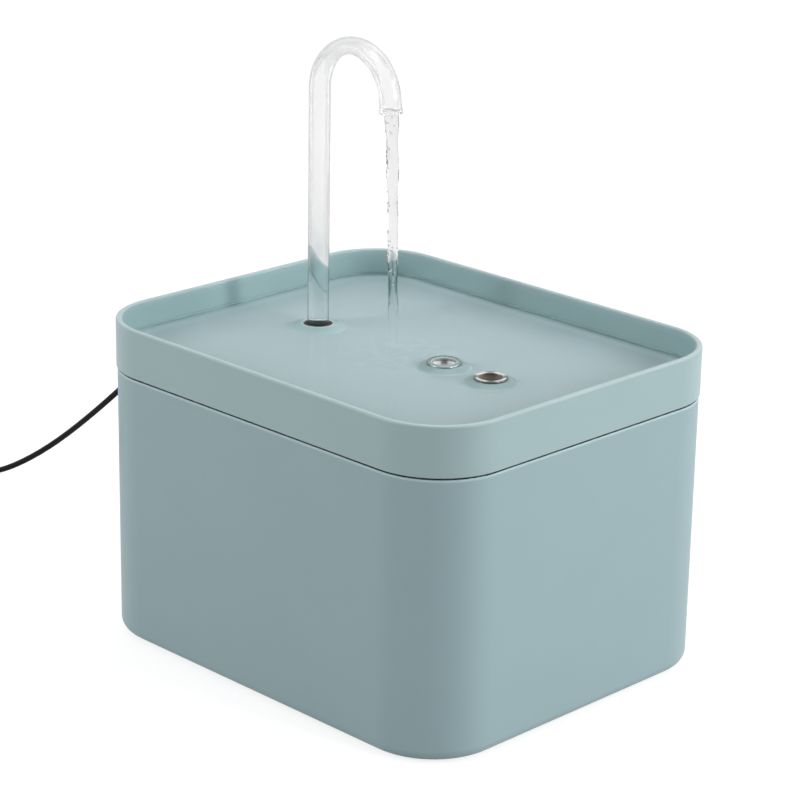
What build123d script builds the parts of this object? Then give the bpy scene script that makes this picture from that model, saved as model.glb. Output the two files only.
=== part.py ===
"""Pet water fountain: a tank with a drinking tray as its lid, a clear spout, a pump and a filter.

Millimetres. X runs along the long side, Y along the short side and Z up. The origin is at the middle of
the outline on the surface that the feet stand on. The spout's outlet points towards +X and the cable
leaves over the rim at -X.
"""

from build123d import *
from math import cos, pi, radians, sin, tan
import os

os.makedirs("parts", exist_ok=True)

# Outline and heights
length = 180.0
width = 149.5
corner_r = 27.5
seat_z = 103.3  # where the tray rests on the tank
tray_h = 18.0  # from the seat to the top of the tray's rim
seam_gap = 0.5  # shadow line outside the seat

# Fits
slide_fit = 0.3  # loose fit between pieces that lift or pull apart
run_fit = 0.08  # radial fit of a shaft or tube in its hole
push_fit = 0.05  # radial fit of pieces pushed together for good
over = 1.0  # how far a cut runs past the face that it opens

# Tank
tank_inset = 0.4  # the tray stands this much proud of the tank all round
tank_wall = 2.6
tank_floor = 3.0
tongue_w = 1.4  # raised inner part of the rim that carries the tray
tank_foot_r = 4.0  # rounding of the bottom edge
tank_inner_r = 3.0
tank_edge_r = 0.45

# Feet
foot_r = 7.0
foot_proud = 0.8
foot_sunk = 0.8
foot_bevel = 0.3
foot_from_end = 28.0
foot_from_side = 26.0

# Tray
rim_wall = 2.3
rim_edge_r = 0.8
basin_depth = 10.2  # from the rim's top to the tray's floor
tray_floor = 2.2
basin_r = 1.0
skirt_wall = 1.6
skirt_drop = 8.0  # how far the skirt reaches down inside the tank

# Holes of the tray, all on the long centre line
spout_x = -46.0
drain_xs = (19.3, 42.0)
mound_h = 1.6  # the floor rises to a low mound round each hole
hole_lip_r = 0.5
spout_mound_r = 11.0
drain_mound_r = 10.0
mound_land = 0.7  # level ground left at a mound's top
mound_round = 1.0

# Drain rings
ring_bore_r = 4.4
ring_wall = 0.75
ring_flange_w = 1.7
ring_rise = 0.8
ring_round = 0.5
ring_drop = 1.6  # how far the stem reaches below the tray's floor

# Spout
tube_r = 4.0
tube_bore_r = 2.9
riser_len = 90.15  # straight part above the tray's floor
bend_r = 18.05
bend_turn = 173.0
tail_len = 5.3

# Spout seal
seal_wall = 1.16
seal_flange_w = 3.9
seal_flange_t = 1.2
seal_round = 0.4

# Pump, its rotor along Y under the spout
pump_front = -9.0
pump_len = 42.0
pump_w = 34.0
pump_h = 30.0
pump_wall = 1.6
pump_corner_r = 5.0
chamber_wall = 2.0
chamber_depth = 14.0
well_r = 6.5
well_depth = 24.0
well_wall = 1.2
nozzle_bore_r = 2.6
nozzle_len = 11.0
gland_len = 6.0
gland_r = 3.2

# Suction cups
cup_r = 6.5
cup_h = 4.8
cup_taper = 35.0
cup_lip_t = 1.0
cup_hollow = 2.2
cup_stem_r = 2.0
cup_stem_h = 1.2
cup_from_side = 7.0
cup_from_end = 8.0

# Motor inside the pump
magnet_gap = 0.6  # radial, to the rotor well
magnet_len = 20.5
magnet_end_gap = 0.6
shaft_r = 1.15
stem_r = 2.8
stator_clear = 0.4
stator_len = 10.0
stator_from_wall = 4.0
winding_t = 2.0
winding_step = 1.2  # how far the windings stand in from the core's faces
board_t = 1.6
board_clear = 1.0

# Impeller
blade_count = 6
blade_clear = 3.6  # from the chamber's wall
blade_rise = 3.0  # sweep of a blade's tip
blade_curve_r = 9.0
blade_t = 1.2
blade_len = 6.5
back_plate_t = 1.2
front_gap = 1.4  # from the cover to the blades

# Impeller cover
cover_t = 1.6
eye_r = 6.0
boss_r = 2.8
spoke_w = 1.4
bush_r = 2.0
bush_t = 1.4
bush_end = 0.25  # rubber left behind the shaft's end

# Intake cover and its flow slider
intake_len = 10.0
intake_wall = 1.5
intake_round = 1.2
slot_w = 1.6
slot_count = 6
slot_pitch = 3.6
rail_t = 1.4
lip_t = 0.8
slider_len = 15.0
slider_h = 10.0
slider_t = 1.2
slider_travel = 5.0
grip_w = 1.0
grip_pitch = 2.4

# Riser hose
hose_wall = 1.8
hose_foot = 1.0  # from the pump's top to the hose
hose_gap = 4.4  # from the nozzle to the spout's lower end
tube_in_hose = 14.0  # how deep that end sits in the hose

# Filter, hung under the drains
case_len = 64.0
case_w = 46.0
case_h = 26.0
case_r = 6.0
case_wall = 1.6
case_floor = 1.8
case_round = 1.5
case_slot_w = 3.0
case_slot_count = 7
collar_wall = 1.6
collar_grip = 8.0  # height of the case that the collar holds
grille_t = 1.6
cotton_t = 5.0
carbon_t = 8.0

# Cable
cable_r = 1.2
cable_drop = 4.7  # from the seat to the cable's centre
skirt_gap = 2.0  # each side of the grommet
notch_w = 6.4
flange_rim = 1.3
flange_t = 1.2
nose_len = 9.0
nose_tip_r = 2.0

# Coil of spare cable and the plug
coil_mid_r = 13.5
coil_half_w = 4.9
coil_h = 9.6
coil_round = 2.4
tie_t = 0.7
tie_w = 4.0
tie_gap = 0.4
tie_round = 0.6
relief_len = 11.0
relief_r = 2.6
relief_tip_r = 1.6
plug_round = 2.2
plug_end_round = 1.4
shell_round = 0.6
plug_len = 24.0
plug_w = 15.6
plug_h = 8.0
shell_len = 18.7
shell_w = 12.0
shell_h = 4.5
shell_wall = 0.35
shell_inner_r = 0.25
tongue_len = 16.0
tongue_h = 1.9
contact_t = 0.2
contact_w = 1.2
contact_pitch = 2.4
contact_short = 3.0  # the contacts are this much shorter than the tongue

# Worked out from the sizes above
rim_top = seat_z + tray_h
basin_floor = rim_top - basin_depth
riser_top = basin_floor + riser_len
tank_top = seat_z - seam_gap
tank_bottom = foot_proud
water_floor = tank_bottom + tank_floor
floor_under = basin_floor - tray_floor
mound_top = basin_floor + mound_h
skirt_inset = tank_inset + tank_wall + slide_fit
spout_hole_r = tube_r + seal_wall + 2 * run_fit
ring_stem_r = ring_bore_r + ring_wall
ring_flange_r = ring_bore_r + ring_flange_w
drain_hole_r = ring_stem_r + 2 * push_fit
chamber_r = pump_h / 2 - chamber_wall
blade_reach = chamber_r - blade_clear
magnet_r = well_r - magnet_gap
stator_r = min(pump_w, pump_h) / 2 - pump_wall - stator_clear
stator_bore_r = well_r + well_wall + push_fit
nozzle_r = tube_r
rotor_z = water_floor + cup_h + pump_h / 2
pump_mid_y = pump_front + pump_len / 2
cup_pitch_x = pump_w - 2 * cup_from_side
cup_pitch_y = pump_len - 2 * cup_from_end
pump_back = pump_front + pump_len
well_end = pump_front + chamber_depth + well_depth
pump_top = rotor_z + pump_h / 2
nozzle_top = pump_top + nozzle_len
hose_bore_r = tube_r + run_fit
tube_bottom = nozzle_top + hose_gap
hose_top = tube_bottom + tube_in_hose
cable_z = seat_z - cable_drop
filter_x = sum(drain_xs) / len(drain_xs)
ring_bottom = floor_under - ring_drop
case_top = ring_bottom - slide_fit
case_bottom = case_top - case_h
case_slot_len = case_w - 2 * case_r
case_slot_pitch = (case_len - 2 * case_r) / case_slot_count
tank_end_x = -(length / 2 - tank_inset)


near = 0.01  # tolerance for picking faces and edges by their place


def outline(inset):
    """Sizes of the rounded outline, moved in from the tray's outer face."""
    return length - 2 * inset, width - 2 * inset, corner_r - inset


def pump_plane(y):
    """Plane across the rotor's axis, facing the front of the pump."""
    return Plane(origin=(spout_x, y, rotor_z), x_dir=(1, 0, 0), z_dir=(0, -1, 0))


def edges_at(shape, z):
    """Edges of a shape that lie flat at one height."""
    return shape.edges().filter_by_position(Axis.Z, z - near, z + near)


def cable_path(points):
    """Straight runs joined by arcs as large as the runs on both sides allow."""
    vectors = [Vector(*p) for p in points]
    radii = []
    for before, at, after in zip(vectors, vectors[1:], vectors[2:]):
        turn = (at - before).get_angle(after - at)
        shorter = min((at - before).length, (after - at).length)
        radii.append(0.45 * shorter / tan(radians(turn / 2)))
    return FilletPolyline(*points, radius=radii), radii


def cable_tube(name, points):
    """Round cable along the path; prints its bends, length and volume against its section."""
    path, radii = cable_path(points)
    start = Plane(origin=path @ 0, z_dir=path % 0)
    with BuildPart() as tube:
        with BuildSketch(start):
            Circle(cable_r)
        sweep(path=path)
    ideal = pi * cable_r**2 * path.length
    print(name, "length", round(path.length, 1), "radii", [round(r, 1) for r in radii])
    print(name, "volume over section times length", round(tube.part.volume / ideal, 4))
    return tube.part


def save(piece, name):
    """Label a finished piece and write it."""
    piece.label = name
    export_step(piece, f"parts/{name}.step")


# Tank: a plain shell whose rim has a raised tongue inside and a notch for the cable
with BuildPart() as tank:
    with BuildSketch(Plane.XY.offset(tank_bottom)):
        RectangleRounded(*outline(tank_inset))
    extrude(amount=seat_z - tank_bottom)
    fillet(edges_at(tank, tank_bottom), tank_foot_r)
    with BuildSketch(Plane.XY.offset(water_floor)):
        RectangleRounded(*outline(tank_inset + tank_wall))
    extrude(amount=seat_z - water_floor, mode=Mode.SUBTRACT)
    fillet(edges_at(tank, water_floor), tank_inner_r)
    with BuildSketch(Plane.XY.offset(tank_top)):
        RectangleRounded(*outline(tank_inset - over))
        RectangleRounded(*outline(tank_inset + tank_wall - tongue_w), mode=Mode.SUBTRACT)
    extrude(amount=seam_gap, mode=Mode.SUBTRACT)
    shoulder = tank.faces().filter_by_position(Axis.Z, tank_top - near, tank_top + near)[0]
    fillet(shoulder.outer_wire().edges(), tank_edge_r)
    with BuildSketch(Plane.YZ.offset(tank_end_x - over)):
        with Locations((0, cable_z)):
            Circle(notch_w / 2)
            Rectangle(notch_w, cable_drop + over, align=(Align.CENTER, Align.MIN))
    extrude(amount=tank_wall + 2 * over, mode=Mode.SUBTRACT)
    with BuildSketch(Plane.XY.offset(tank_bottom)):
        with GridLocations(length - 2 * foot_from_end, width - 2 * foot_from_side, 2, 2):
            Circle(foot_r + push_fit)
    extrude(amount=foot_sunk, mode=Mode.SUBTRACT)
save(tank.part, "tank")

# Four rubber pads, sunk in the tank's underside
with BuildPart() as foot_pads:
    with BuildSketch():
        with GridLocations(length - 2 * foot_from_end, width - 2 * foot_from_side, 2, 2):
            Circle(foot_r)
    extrude(amount=foot_proud + foot_sunk)
    chamfer(edges_at(foot_pads, 0), foot_bevel)
save(foot_pads.part, "foot_pads")

# Tray: rim and basin above, skirt and filter collar below
with BuildPart() as tray:
    with BuildSketch(Plane.XY.offset(seat_z)):
        RectangleRounded(*outline(0))
    extrude(amount=rim_top - seat_z)
    with BuildSketch(Plane.XY.offset(basin_floor)):
        RectangleRounded(*outline(rim_wall))
    extrude(amount=rim_top - basin_floor, mode=Mode.SUBTRACT)
    fillet(edges_at(tray, basin_floor), basin_r)
    fillet(edges_at(tray, rim_top), rim_edge_r)
    fillet(edges_at(tray, seat_z), tank_edge_r / 2)
    with BuildSketch(Plane.XY.offset(seat_z)):
        RectangleRounded(*outline(skirt_inset + skirt_wall))
    extrude(amount=floor_under - seat_z, mode=Mode.SUBTRACT)
    with BuildSketch(Plane.XY.offset(seat_z - skirt_drop)):
        RectangleRounded(*outline(skirt_inset))
        RectangleRounded(*outline(skirt_inset + skirt_wall), mode=Mode.SUBTRACT)
    extrude(amount=skirt_drop)
    with BuildSketch(Plane.XY.offset(case_top - collar_grip)):
        with Locations((filter_x, 0)):
            collar_in = case_len + 2 * slide_fit, case_w + 2 * slide_fit
            RectangleRounded(*(s + 2 * collar_wall for s in collar_in), case_r + slide_fit + collar_wall)
            RectangleRounded(*collar_in, case_r + slide_fit, mode=Mode.SUBTRACT)
    extrude(amount=floor_under - case_top + collar_grip)
    with BuildSketch(Plane.YZ.offset(tank_end_x + tank_wall)):
        with Locations((0, seat_z)):
            skirt_notch_w = notch_w + 2 * (flange_rim + skirt_gap)
            Rectangle(skirt_notch_w, skirt_drop + over, align=(Align.CENTER, Align.MAX))
    extrude(amount=slide_fit + skirt_wall + over, mode=Mode.SUBTRACT)
    mound_tops = [(spout_x, spout_mound_r, spout_hole_r)]
    mound_tops += [(x, drain_mound_r, ring_flange_r) for x in drain_xs]
    for x, foot, top in mound_tops:
        with Locations((x, 0, basin_floor)):
            Cone(foot, top + mound_land, mound_h, align=(Align.CENTER, Align.CENTER, Align.MIN))
    mound_feet = edges_at(tray, basin_floor).filter_by(GeomType.CIRCLE)
    fillet([e for e in mound_feet if e.is_closed], mound_round)
    with BuildSketch(Plane.XY.offset(floor_under)):
        with Locations((spout_x, 0)):
            Circle(spout_hole_r)
        with Locations(*((x, 0) for x in drain_xs)):
            Circle(drain_hole_r)
    extrude(amount=tray_floor + mound_h, mode=Mode.SUBTRACT)
    top_edges = edges_at(tray, mound_top).filter_by(GeomType.CIRCLE)
    fillet([e for e in top_edges if abs(e.radius - spout_hole_r) < near], hole_lip_r)
save(tray.part, "tray")


def drain_ring(x):
    """Turned metal ring with a rounded flange, pushed into a drain hole."""
    with BuildPart() as ring:
        with BuildSketch(Plane((x, 0, mound_top))):
            Circle(ring_flange_r)
        extrude(amount=ring_rise)
        fillet(edges_at(ring, mound_top + ring_rise), ring_round)
        with BuildSketch(Plane((x, 0, ring_bottom))):
            Circle(ring_stem_r)
        extrude(amount=mound_top - ring_bottom)
        with BuildSketch(Plane((x, 0, ring_bottom))):
            Circle(ring_bore_r)
        extrude(amount=ring_rise + mound_top - ring_bottom, mode=Mode.SUBTRACT)
        fillet(edges_at(ring, mound_top + ring_rise).sort_by(SortBy.RADIUS)[0], ring_round / 2)
    return ring.part


# Drain rings, one near the spout and one far from it
for ring_name, ring_x in zip(("drain_ring_near", "drain_ring_far"), drain_xs):
    save(drain_ring(ring_x), ring_name)

# Spout seal: a rubber bush in the tray's hole with a flange under the floor
with BuildPart() as spout_seal:
    with BuildSketch(Plane.XY.offset(floor_under - run_fit - seal_flange_t)):
        with Locations((spout_x, 0)):
            Circle(tube_r + seal_flange_w)
    extrude(amount=seal_flange_t)
    with BuildSketch(Plane.XY.offset(floor_under - run_fit)):
        with Locations((spout_x, 0)):
            Circle(spout_hole_r - run_fit)
    extrude(amount=mound_top - floor_under + run_fit)
    fillet(edges_at(spout_seal, mound_top), seal_round)
    with BuildSketch(Plane.XY.offset(floor_under - run_fit - seal_flange_t)):
        with Locations((spout_x, 0)):
            Circle(tube_r + run_fit)
    extrude(amount=tray_floor + mound_h + seal_flange_t + over, mode=Mode.SUBTRACT)
save(spout_seal.part, "spout_seal")

# Spout tube: riser, bend and short tail in one plane
turn = radians(bend_turn)
riser_end = Vector(spout_x, 0, riser_top)
bend_end = riser_end + Vector(bend_r * (1 - cos(turn)), 0, bend_r * sin(turn))
outlet = bend_end + Vector(sin(turn), 0, cos(turn)) * tail_len
with BuildPart() as spout_tube:
    with BuildLine() as spout_line:
        Line((spout_x, 0, tube_bottom), riser_end)
        TangentArc(riser_end, bend_end, tangent=(0, 0, 1))
        Line(bend_end, outlet)
    with BuildSketch(Plane.XY.offset(tube_bottom)):
        with Locations((spout_x, 0)):
            Circle(tube_r)
            Circle(tube_bore_r, mode=Mode.SUBTRACT)
    sweep(path=spout_line.wire())
save(spout_tube.part, "spout_tube")

# Pump housing: impeller chamber in front, rotor well behind it, motor bay open at the back
with BuildPart() as pump_housing:
    with BuildSketch(pump_plane(pump_front)):
        RectangleRounded(pump_w, pump_h, pump_corner_r)
    extrude(amount=-pump_len)
    with BuildSketch(Plane.XY.offset(rotor_z)):
        with Locations((spout_x, 0)):
            Circle(nozzle_r)
    extrude(amount=nozzle_top - rotor_z)
    with BuildSketch(pump_plane(pump_front)):
        Circle(chamber_r)
    extrude(amount=-chamber_depth, mode=Mode.SUBTRACT)
    with BuildSketch(pump_plane(pump_front)):
        Circle(well_r)
    extrude(amount=-(chamber_depth + well_depth), mode=Mode.SUBTRACT)
    with BuildSketch(Plane.XY.offset(rotor_z)):
        with Locations((spout_x, 0)):
            Circle(nozzle_bore_r)
    extrude(amount=nozzle_top - rotor_z, mode=Mode.SUBTRACT)
    bay = pump_w - 2 * pump_wall, pump_h - 2 * pump_wall, pump_corner_r - pump_wall
    with BuildSketch(pump_plane(pump_back)):
        RectangleRounded(*bay)
    extrude(amount=pump_back - well_end - well_wall, mode=Mode.SUBTRACT)
    with BuildSketch(pump_plane(pump_back)):
        RectangleRounded(*bay)
        Circle(well_r + well_wall, mode=Mode.SUBTRACT)
    extrude(amount=pump_len - chamber_depth - well_wall, mode=Mode.SUBTRACT)
    with BuildSketch(Plane.XY.offset(rotor_z - pump_h / 2)):
        with Locations((spout_x, pump_mid_y)):
            with GridLocations(cup_pitch_x, cup_pitch_y, 2, 2):
                Circle(cup_stem_r + push_fit)
    extrude(amount=cup_stem_h + push_fit, mode=Mode.SUBTRACT)
save(pump_housing.part, "pump_housing")

# Suction cups, hollow below, with stems in the pump's underside
with BuildPart() as pump_suction_cups:
    cup_base = Plane((spout_x, pump_mid_y, water_floor))
    cup_spots = GridLocations(cup_pitch_x, cup_pitch_y, 2, 2)
    with BuildSketch(cup_base):
        with cup_spots:
            Circle(cup_r)
    extrude(amount=cup_h, taper=cup_taper)
    with BuildSketch(cup_base):
        with cup_spots:
            Circle(cup_r - cup_lip_t)
    extrude(amount=cup_hollow, taper=cup_taper, mode=Mode.SUBTRACT)
    with BuildSketch(cup_base.offset(cup_h)):
        with cup_spots:
            Circle(cup_stem_r)
    extrude(amount=cup_stem_h)
save(pump_suction_cups.part, "pump_suction_cups")

# Motor: laminated ring round the rotor well, a winding on each end of it
stator_front = pump_front + chamber_depth + well_wall + stator_from_wall
with BuildPart() as stator_core:
    with BuildSketch(pump_plane(stator_front)):
        Circle(stator_r)
        Circle(stator_bore_r, mode=Mode.SUBTRACT)
    extrude(amount=-stator_len)
save(stator_core.part, "stator_core")

with BuildPart() as stator_windings:
    for y in (stator_front - winding_t, stator_front + stator_len):
        with BuildSketch(pump_plane(y)):
            Circle(stator_r - winding_step)
            Circle(stator_bore_r + winding_step, mode=Mode.SUBTRACT)
        extrude(amount=-winding_t)
save(stator_windings.part, "stator_windings")

# Driver board behind the rotor well, and the resin that seals the bay
board_front = well_end + well_wall
with BuildPart() as driver_board:
    with BuildSketch(pump_plane(board_front)):
        RectangleRounded(bay[0] - 2 * board_clear, bay[1] - 2 * board_clear, bay[2] - board_clear)
    extrude(amount=-board_t)
save(driver_board.part, "driver_board")

with BuildPart() as potting_resin:
    with BuildSketch(pump_plane(board_front + board_t)):
        RectangleRounded(bay[0] - 2 * push_fit, bay[1] - 2 * push_fit, bay[2] - push_fit)
    extrude(amount=-(pump_back - board_front - board_t))
save(potting_resin.part, "potting_resin")

# Gland on the pump's back, tapered to the cable
with BuildPart() as pump_cable_gland:
    with BuildSketch(pump_plane(pump_back)):
        Circle(gland_r)
    with BuildSketch(pump_plane(pump_back + gland_len)):
        Circle(nose_tip_r)
    loft()
save(pump_cable_gland.part, "pump_cable_gland")

# Fixed ceramic shaft between two rubber bushes
bush_front_y = pump_front + cover_t - bush_t
bush_rear_y = well_end - bush_t
shaft_front = bush_front_y + bush_end + push_fit
shaft_back = well_end - bush_end - push_fit
with BuildPart() as rotor_shaft:
    with BuildSketch(pump_plane(shaft_front)):
        Circle(shaft_r)
    extrude(amount=-(shaft_back - shaft_front))
save(rotor_shaft.part, "rotor_shaft")


def shaft_bush(y, outer_r, bore_y):
    """Rubber bush from y backwards, with a blind bore from bore_y for the end of the shaft."""
    with BuildPart() as bush:
        with BuildSketch(pump_plane(y)):
            Circle(outer_r)
        extrude(amount=-bush_t)
        with BuildSketch(pump_plane(bore_y)):
            Circle(shaft_r + push_fit)
        extrude(amount=-(bush_t - bush_end), mode=Mode.SUBTRACT)
    return bush.part


save(shaft_bush(bush_front_y, bush_r, bush_front_y + bush_end), "shaft_bush_front")
save(shaft_bush(bush_rear_y, well_r - push_fit, bush_rear_y), "shaft_bush_rear")

# Impeller with swept blades, its stem through the magnet
blade_y = pump_front + cover_t + front_gap
plate_y = blade_y + blade_len
magnet_end = bush_rear_y - magnet_end_gap
magnet_y = magnet_end - magnet_len
blade_curve = RadiusArc((stem_r, 0), (blade_reach - blade_t, blade_rise), blade_curve_r)
with BuildPart() as impeller:
    with BuildSketch(pump_plane(blade_y)):
        Circle(stem_r)
    extrude(amount=-(magnet_end - blade_y))
    with BuildSketch(pump_plane(plate_y)):
        Circle(blade_reach)
    extrude(amount=-back_plate_t)
    with BuildSketch(pump_plane(blade_y)):
        with PolarLocations(0, blade_count):
            SlotArc(blade_curve, blade_t)
    extrude(amount=-blade_len)
    with BuildSketch(pump_plane(blade_y)):
        Circle(shaft_r + run_fit)
    extrude(amount=-(magnet_end - blade_y), mode=Mode.SUBTRACT)
save(impeller.part, "impeller")

with BuildPart() as rotor_magnet:
    with BuildSketch(pump_plane(magnet_y)):
        Circle(magnet_r)
        Circle(stem_r + push_fit, mode=Mode.SUBTRACT)
    extrude(amount=-magnet_len)
save(rotor_magnet.part, "rotor_magnet")

# Impeller cover: plate in the chamber's mouth, its eye crossed by three spokes to the bush's boss
with BuildPart() as impeller_cover:
    with BuildSketch(pump_plane(pump_front)):
        Circle(chamber_r - push_fit)
        Circle(eye_r, mode=Mode.SUBTRACT)
        Circle(boss_r)
        with PolarLocations((eye_r + boss_r) / 2, 3):
            Rectangle(eye_r, spoke_w)
    extrude(amount=-cover_t)
    with BuildSketch(pump_plane(bush_front_y)):
        Circle(bush_r + push_fit)
    extrude(amount=-bush_t, mode=Mode.SUBTRACT)
save(impeller_cover.part, "impeller_cover")

# Intake cover: slotted cap on the pump's front, with two rails for the flow slider
intake_back = pump_front - slide_fit / 2
intake_front = intake_back - intake_len
with BuildPart() as intake_cover:
    with BuildSketch(pump_plane(intake_back)):
        RectangleRounded(pump_w, pump_h, pump_corner_r)
    extrude(amount=intake_len)
    fillet(intake_cover.faces().sort_by(Axis.Y)[0].edges(), intake_round)
    with BuildSketch(pump_plane(intake_back)):
        RectangleRounded(pump_w - 2 * intake_wall, pump_h - 2 * intake_wall, pump_corner_r - intake_wall)
    extrude(amount=intake_len - intake_wall, mode=Mode.SUBTRACT)
    rail_z = slider_h / 2 + slide_fit / 2 + rail_t / 2
    rail_len = slider_len + slider_travel
    with BuildSketch(pump_plane(intake_front)):
        with Locations((0, rail_z), (0, -rail_z)):
            Rectangle(rail_len, rail_t)
    extrude(amount=slider_t + slide_fit + lip_t)
    with BuildSketch(pump_plane(intake_front - slider_t - slide_fit)):
        with Locations((0, rail_z - lip_t / 2), (0, -rail_z + lip_t / 2)):
            Rectangle(rail_len, rail_t + lip_t)
    extrude(amount=lip_t)
    side_slot_z = (rail_z + rail_t / 2 + pump_h / 2 - intake_wall) / 2
    side_slot_h = pump_h / 2 - intake_wall - rail_z - rail_t
    with BuildSketch(pump_plane(intake_front)):
        with GridLocations(slot_pitch, 1, slot_count, 1):
            Rectangle(slot_w, slider_h - 2 * lip_t - rail_t)
        with GridLocations(slot_pitch, 2 * side_slot_z, slot_count, 2):
            Rectangle(slot_w, side_slot_h)
    extrude(amount=-intake_wall, mode=Mode.SUBTRACT)
save(intake_cover.part, "intake_cover")

# Flow slider between the rails, at the open end of its travel
slider_x = spout_x - slider_travel / 2
with BuildPart() as flow_slider:
    slider_plane = Plane(
        origin=(slider_x, intake_front - slide_fit / 2, rotor_z), x_dir=(1, 0, 0), z_dir=(0, -1, 0)
    )
    with BuildSketch(slider_plane):
        Rectangle(slider_len, slider_h)
    extrude(amount=slider_t)
    with BuildSketch(slider_plane.offset(slider_t)):
        with GridLocations(grip_pitch, 1, 3, 1):
            Rectangle(grip_w, slider_h - 2 * (rail_t + lip_t))
    extrude(amount=grip_w)
save(flow_slider.part, "flow_slider")

# Riser hose from the nozzle up round the spout's lower end
with BuildPart() as riser_hose:
    with BuildSketch(Plane.XY.offset(pump_top + hose_foot)):
        with Locations((spout_x, 0)):
            Circle(hose_bore_r + hose_wall)
            Circle(hose_bore_r, mode=Mode.SUBTRACT)
    extrude(amount=hose_top - pump_top - hose_foot)
save(riser_hose.part, "riser_hose")

# Filter case: slotted floor, open top
with BuildPart() as filter_case:
    with BuildSketch(Plane.XY.offset(case_bottom)):
        with Locations((filter_x, 0)):
            RectangleRounded(case_len, case_w, case_r)
    extrude(amount=case_h)
    fillet(edges_at(filter_case, case_bottom), case_round)
    with BuildSketch(Plane.XY.offset(case_bottom + case_floor)):
        with Locations((filter_x, 0)):
            RectangleRounded(case_len - 2 * case_wall, case_w - 2 * case_wall, case_r - case_wall)
    extrude(amount=case_h - case_floor, mode=Mode.SUBTRACT)
    with BuildSketch(Plane.XY.offset(case_bottom)):
        with Locations((filter_x, 0)):
            with GridLocations(case_slot_pitch, 1, case_slot_count, 1):
                SlotOverall(case_slot_len, case_slot_w, rotation=90)
    extrude(amount=case_floor, mode=Mode.SUBTRACT)
save(filter_case.part, "filter_case")


def filter_layer(z, thickness):
    """One layer of the filter, filling the case from wall to wall."""
    with BuildPart() as layer:
        with BuildSketch(Plane.XY.offset(z)):
            with Locations((filter_x, 0)):
                inset = 2 * (case_wall + push_fit)
                RectangleRounded(case_len - inset, case_w - inset, case_r - case_wall - push_fit)
        extrude(amount=thickness)
    return layer.part


# Filter layers from the bottom up: resin, carbon, cotton, and the grille that holds them in
resin_z = case_bottom + case_floor
grille_z = case_top - grille_t
cotton_z = grille_z - cotton_t
carbon_z = cotton_z - carbon_t
save(filter_layer(resin_z, carbon_z - resin_z), "filter_resin")
save(filter_layer(carbon_z, carbon_t), "filter_carbon")
save(filter_layer(cotton_z, cotton_t), "filter_cotton")

with BuildPart() as filter_grille:
    add(filter_layer(grille_z, grille_t))
    with BuildSketch(Plane.XY.offset(grille_z)):
        with Locations((filter_x, 0)):
            with GridLocations(case_slot_pitch, 1, case_slot_count, 1):
                SlotOverall(case_slot_len, case_slot_w, rotation=90)
    extrude(amount=grille_t, mode=Mode.SUBTRACT)
save(filter_grille.part, "filter_grille")

# Grommet in the tank's notch: a flange each side of the wall and a tapered nose outside
grommet_top = seat_z - slide_fit
with BuildPart() as cable_grommet:

    def notch_shape(x, grow):
        """Sketch of the notch at one x, grown for a flange or shrunk for the fit."""
        with BuildSketch(Plane.YZ.offset(x)) as shape:
            with Locations((0, cable_z)):
                Circle(notch_w / 2 + grow)
                Rectangle(notch_w + 2 * grow, grommet_top - cable_z, align=(Align.CENTER, Align.MIN))
            with Locations((0, grommet_top)):
                Rectangle(2 * notch_w, notch_w, align=(Align.CENTER, Align.MIN), mode=Mode.SUBTRACT)
        return shape.sketch

    extrude(notch_shape(tank_end_x, -push_fit), amount=tank_wall)
    extrude(notch_shape(tank_end_x - flange_t, flange_rim), amount=flange_t)
    extrude(notch_shape(tank_end_x + tank_wall, flange_rim), amount=flange_t)
    with BuildSketch(Plane.YZ.offset(tank_end_x - flange_t)):
        with Locations((0, cable_z)):
            Circle(notch_w / 2)
    with BuildSketch(Plane.YZ.offset(tank_end_x - flange_t - nose_len)):
        with Locations((0, cable_z)):
            Circle(nose_tip_r)
    loft()
    with BuildSketch(Plane.YZ.offset(tank_end_x - flange_t - nose_len)):
        with Locations((0, cable_z)):
            Circle(cable_r + push_fit)
    extrude(amount=nose_len + 2 * flange_t + tank_wall, mode=Mode.SUBTRACT)
save(cable_grommet.part, "cable_grommet")

# Pump cable inside the tank, from the gland up to the grommet
cable_join_x = tank_end_x + tank_wall / 2
lead_points = [
    (spout_x, pump_back + gland_len, rotor_z),
    (spout_x, 54, rotor_z),
    (-58, 63, 34),
    (-70, 56, 58),
    (-70, 36, 78),
    (-63, 16, 93),
    (-70, 0, cable_z),
    (cable_join_x, 0, cable_z),
]
save(cable_tube("pump_lead", lead_points), "pump_lead")

# Free cable: out of the grommet, down to the surface and on to the coil
coil_x = -270.0
coil_y = -13.8 - coil_mid_r
free_points = [
    (cable_join_x, 0, cable_z),
    (-107, 0, cable_z),
    (-131, 1.5, 85.7),
    (-173, 0.8, 48.2),
    (-212, 0.4, 17.8),
    (-238, -7, 1.6),
    (-252, -12.5, 1.3),
    (-260, -13.6, 1.5),
]
save(cable_tube("cable_free", free_points), "cable_free")

# Coil of the spare cable, as one ring of its outer shape
with BuildPart() as cable_coil:
    with BuildSketch(Plane.XY.offset(tie_t)):
        with Locations((coil_x, coil_y)):
            Circle(coil_mid_r + coil_half_w)
            Circle(coil_mid_r - coil_half_w, mode=Mode.SUBTRACT)
    extrude(amount=coil_h)
    fillet(cable_coil.edges(), coil_round)
save(cable_coil.part, "cable_coil")

# Strap round the coil's section
with BuildPart() as cable_tie:
    tie_plane = Plane(
        origin=(coil_x + coil_mid_r, coil_y, coil_h / 2 + tie_t), x_dir=(1, 0, 0), z_dir=(0, -1, 0)
    )
    with BuildSketch(tie_plane):
        RectangleRounded(2 * (coil_half_w + tie_gap + tie_t), coil_h + 2 * tie_t, tie_round + tie_t)
        RectangleRounded(2 * (coil_half_w + tie_gap), coil_h, tie_round, mode=Mode.SUBTRACT)
    extrude(amount=tie_w / 2, both=True)
save(cable_tie.part, "cable_tie")

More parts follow.
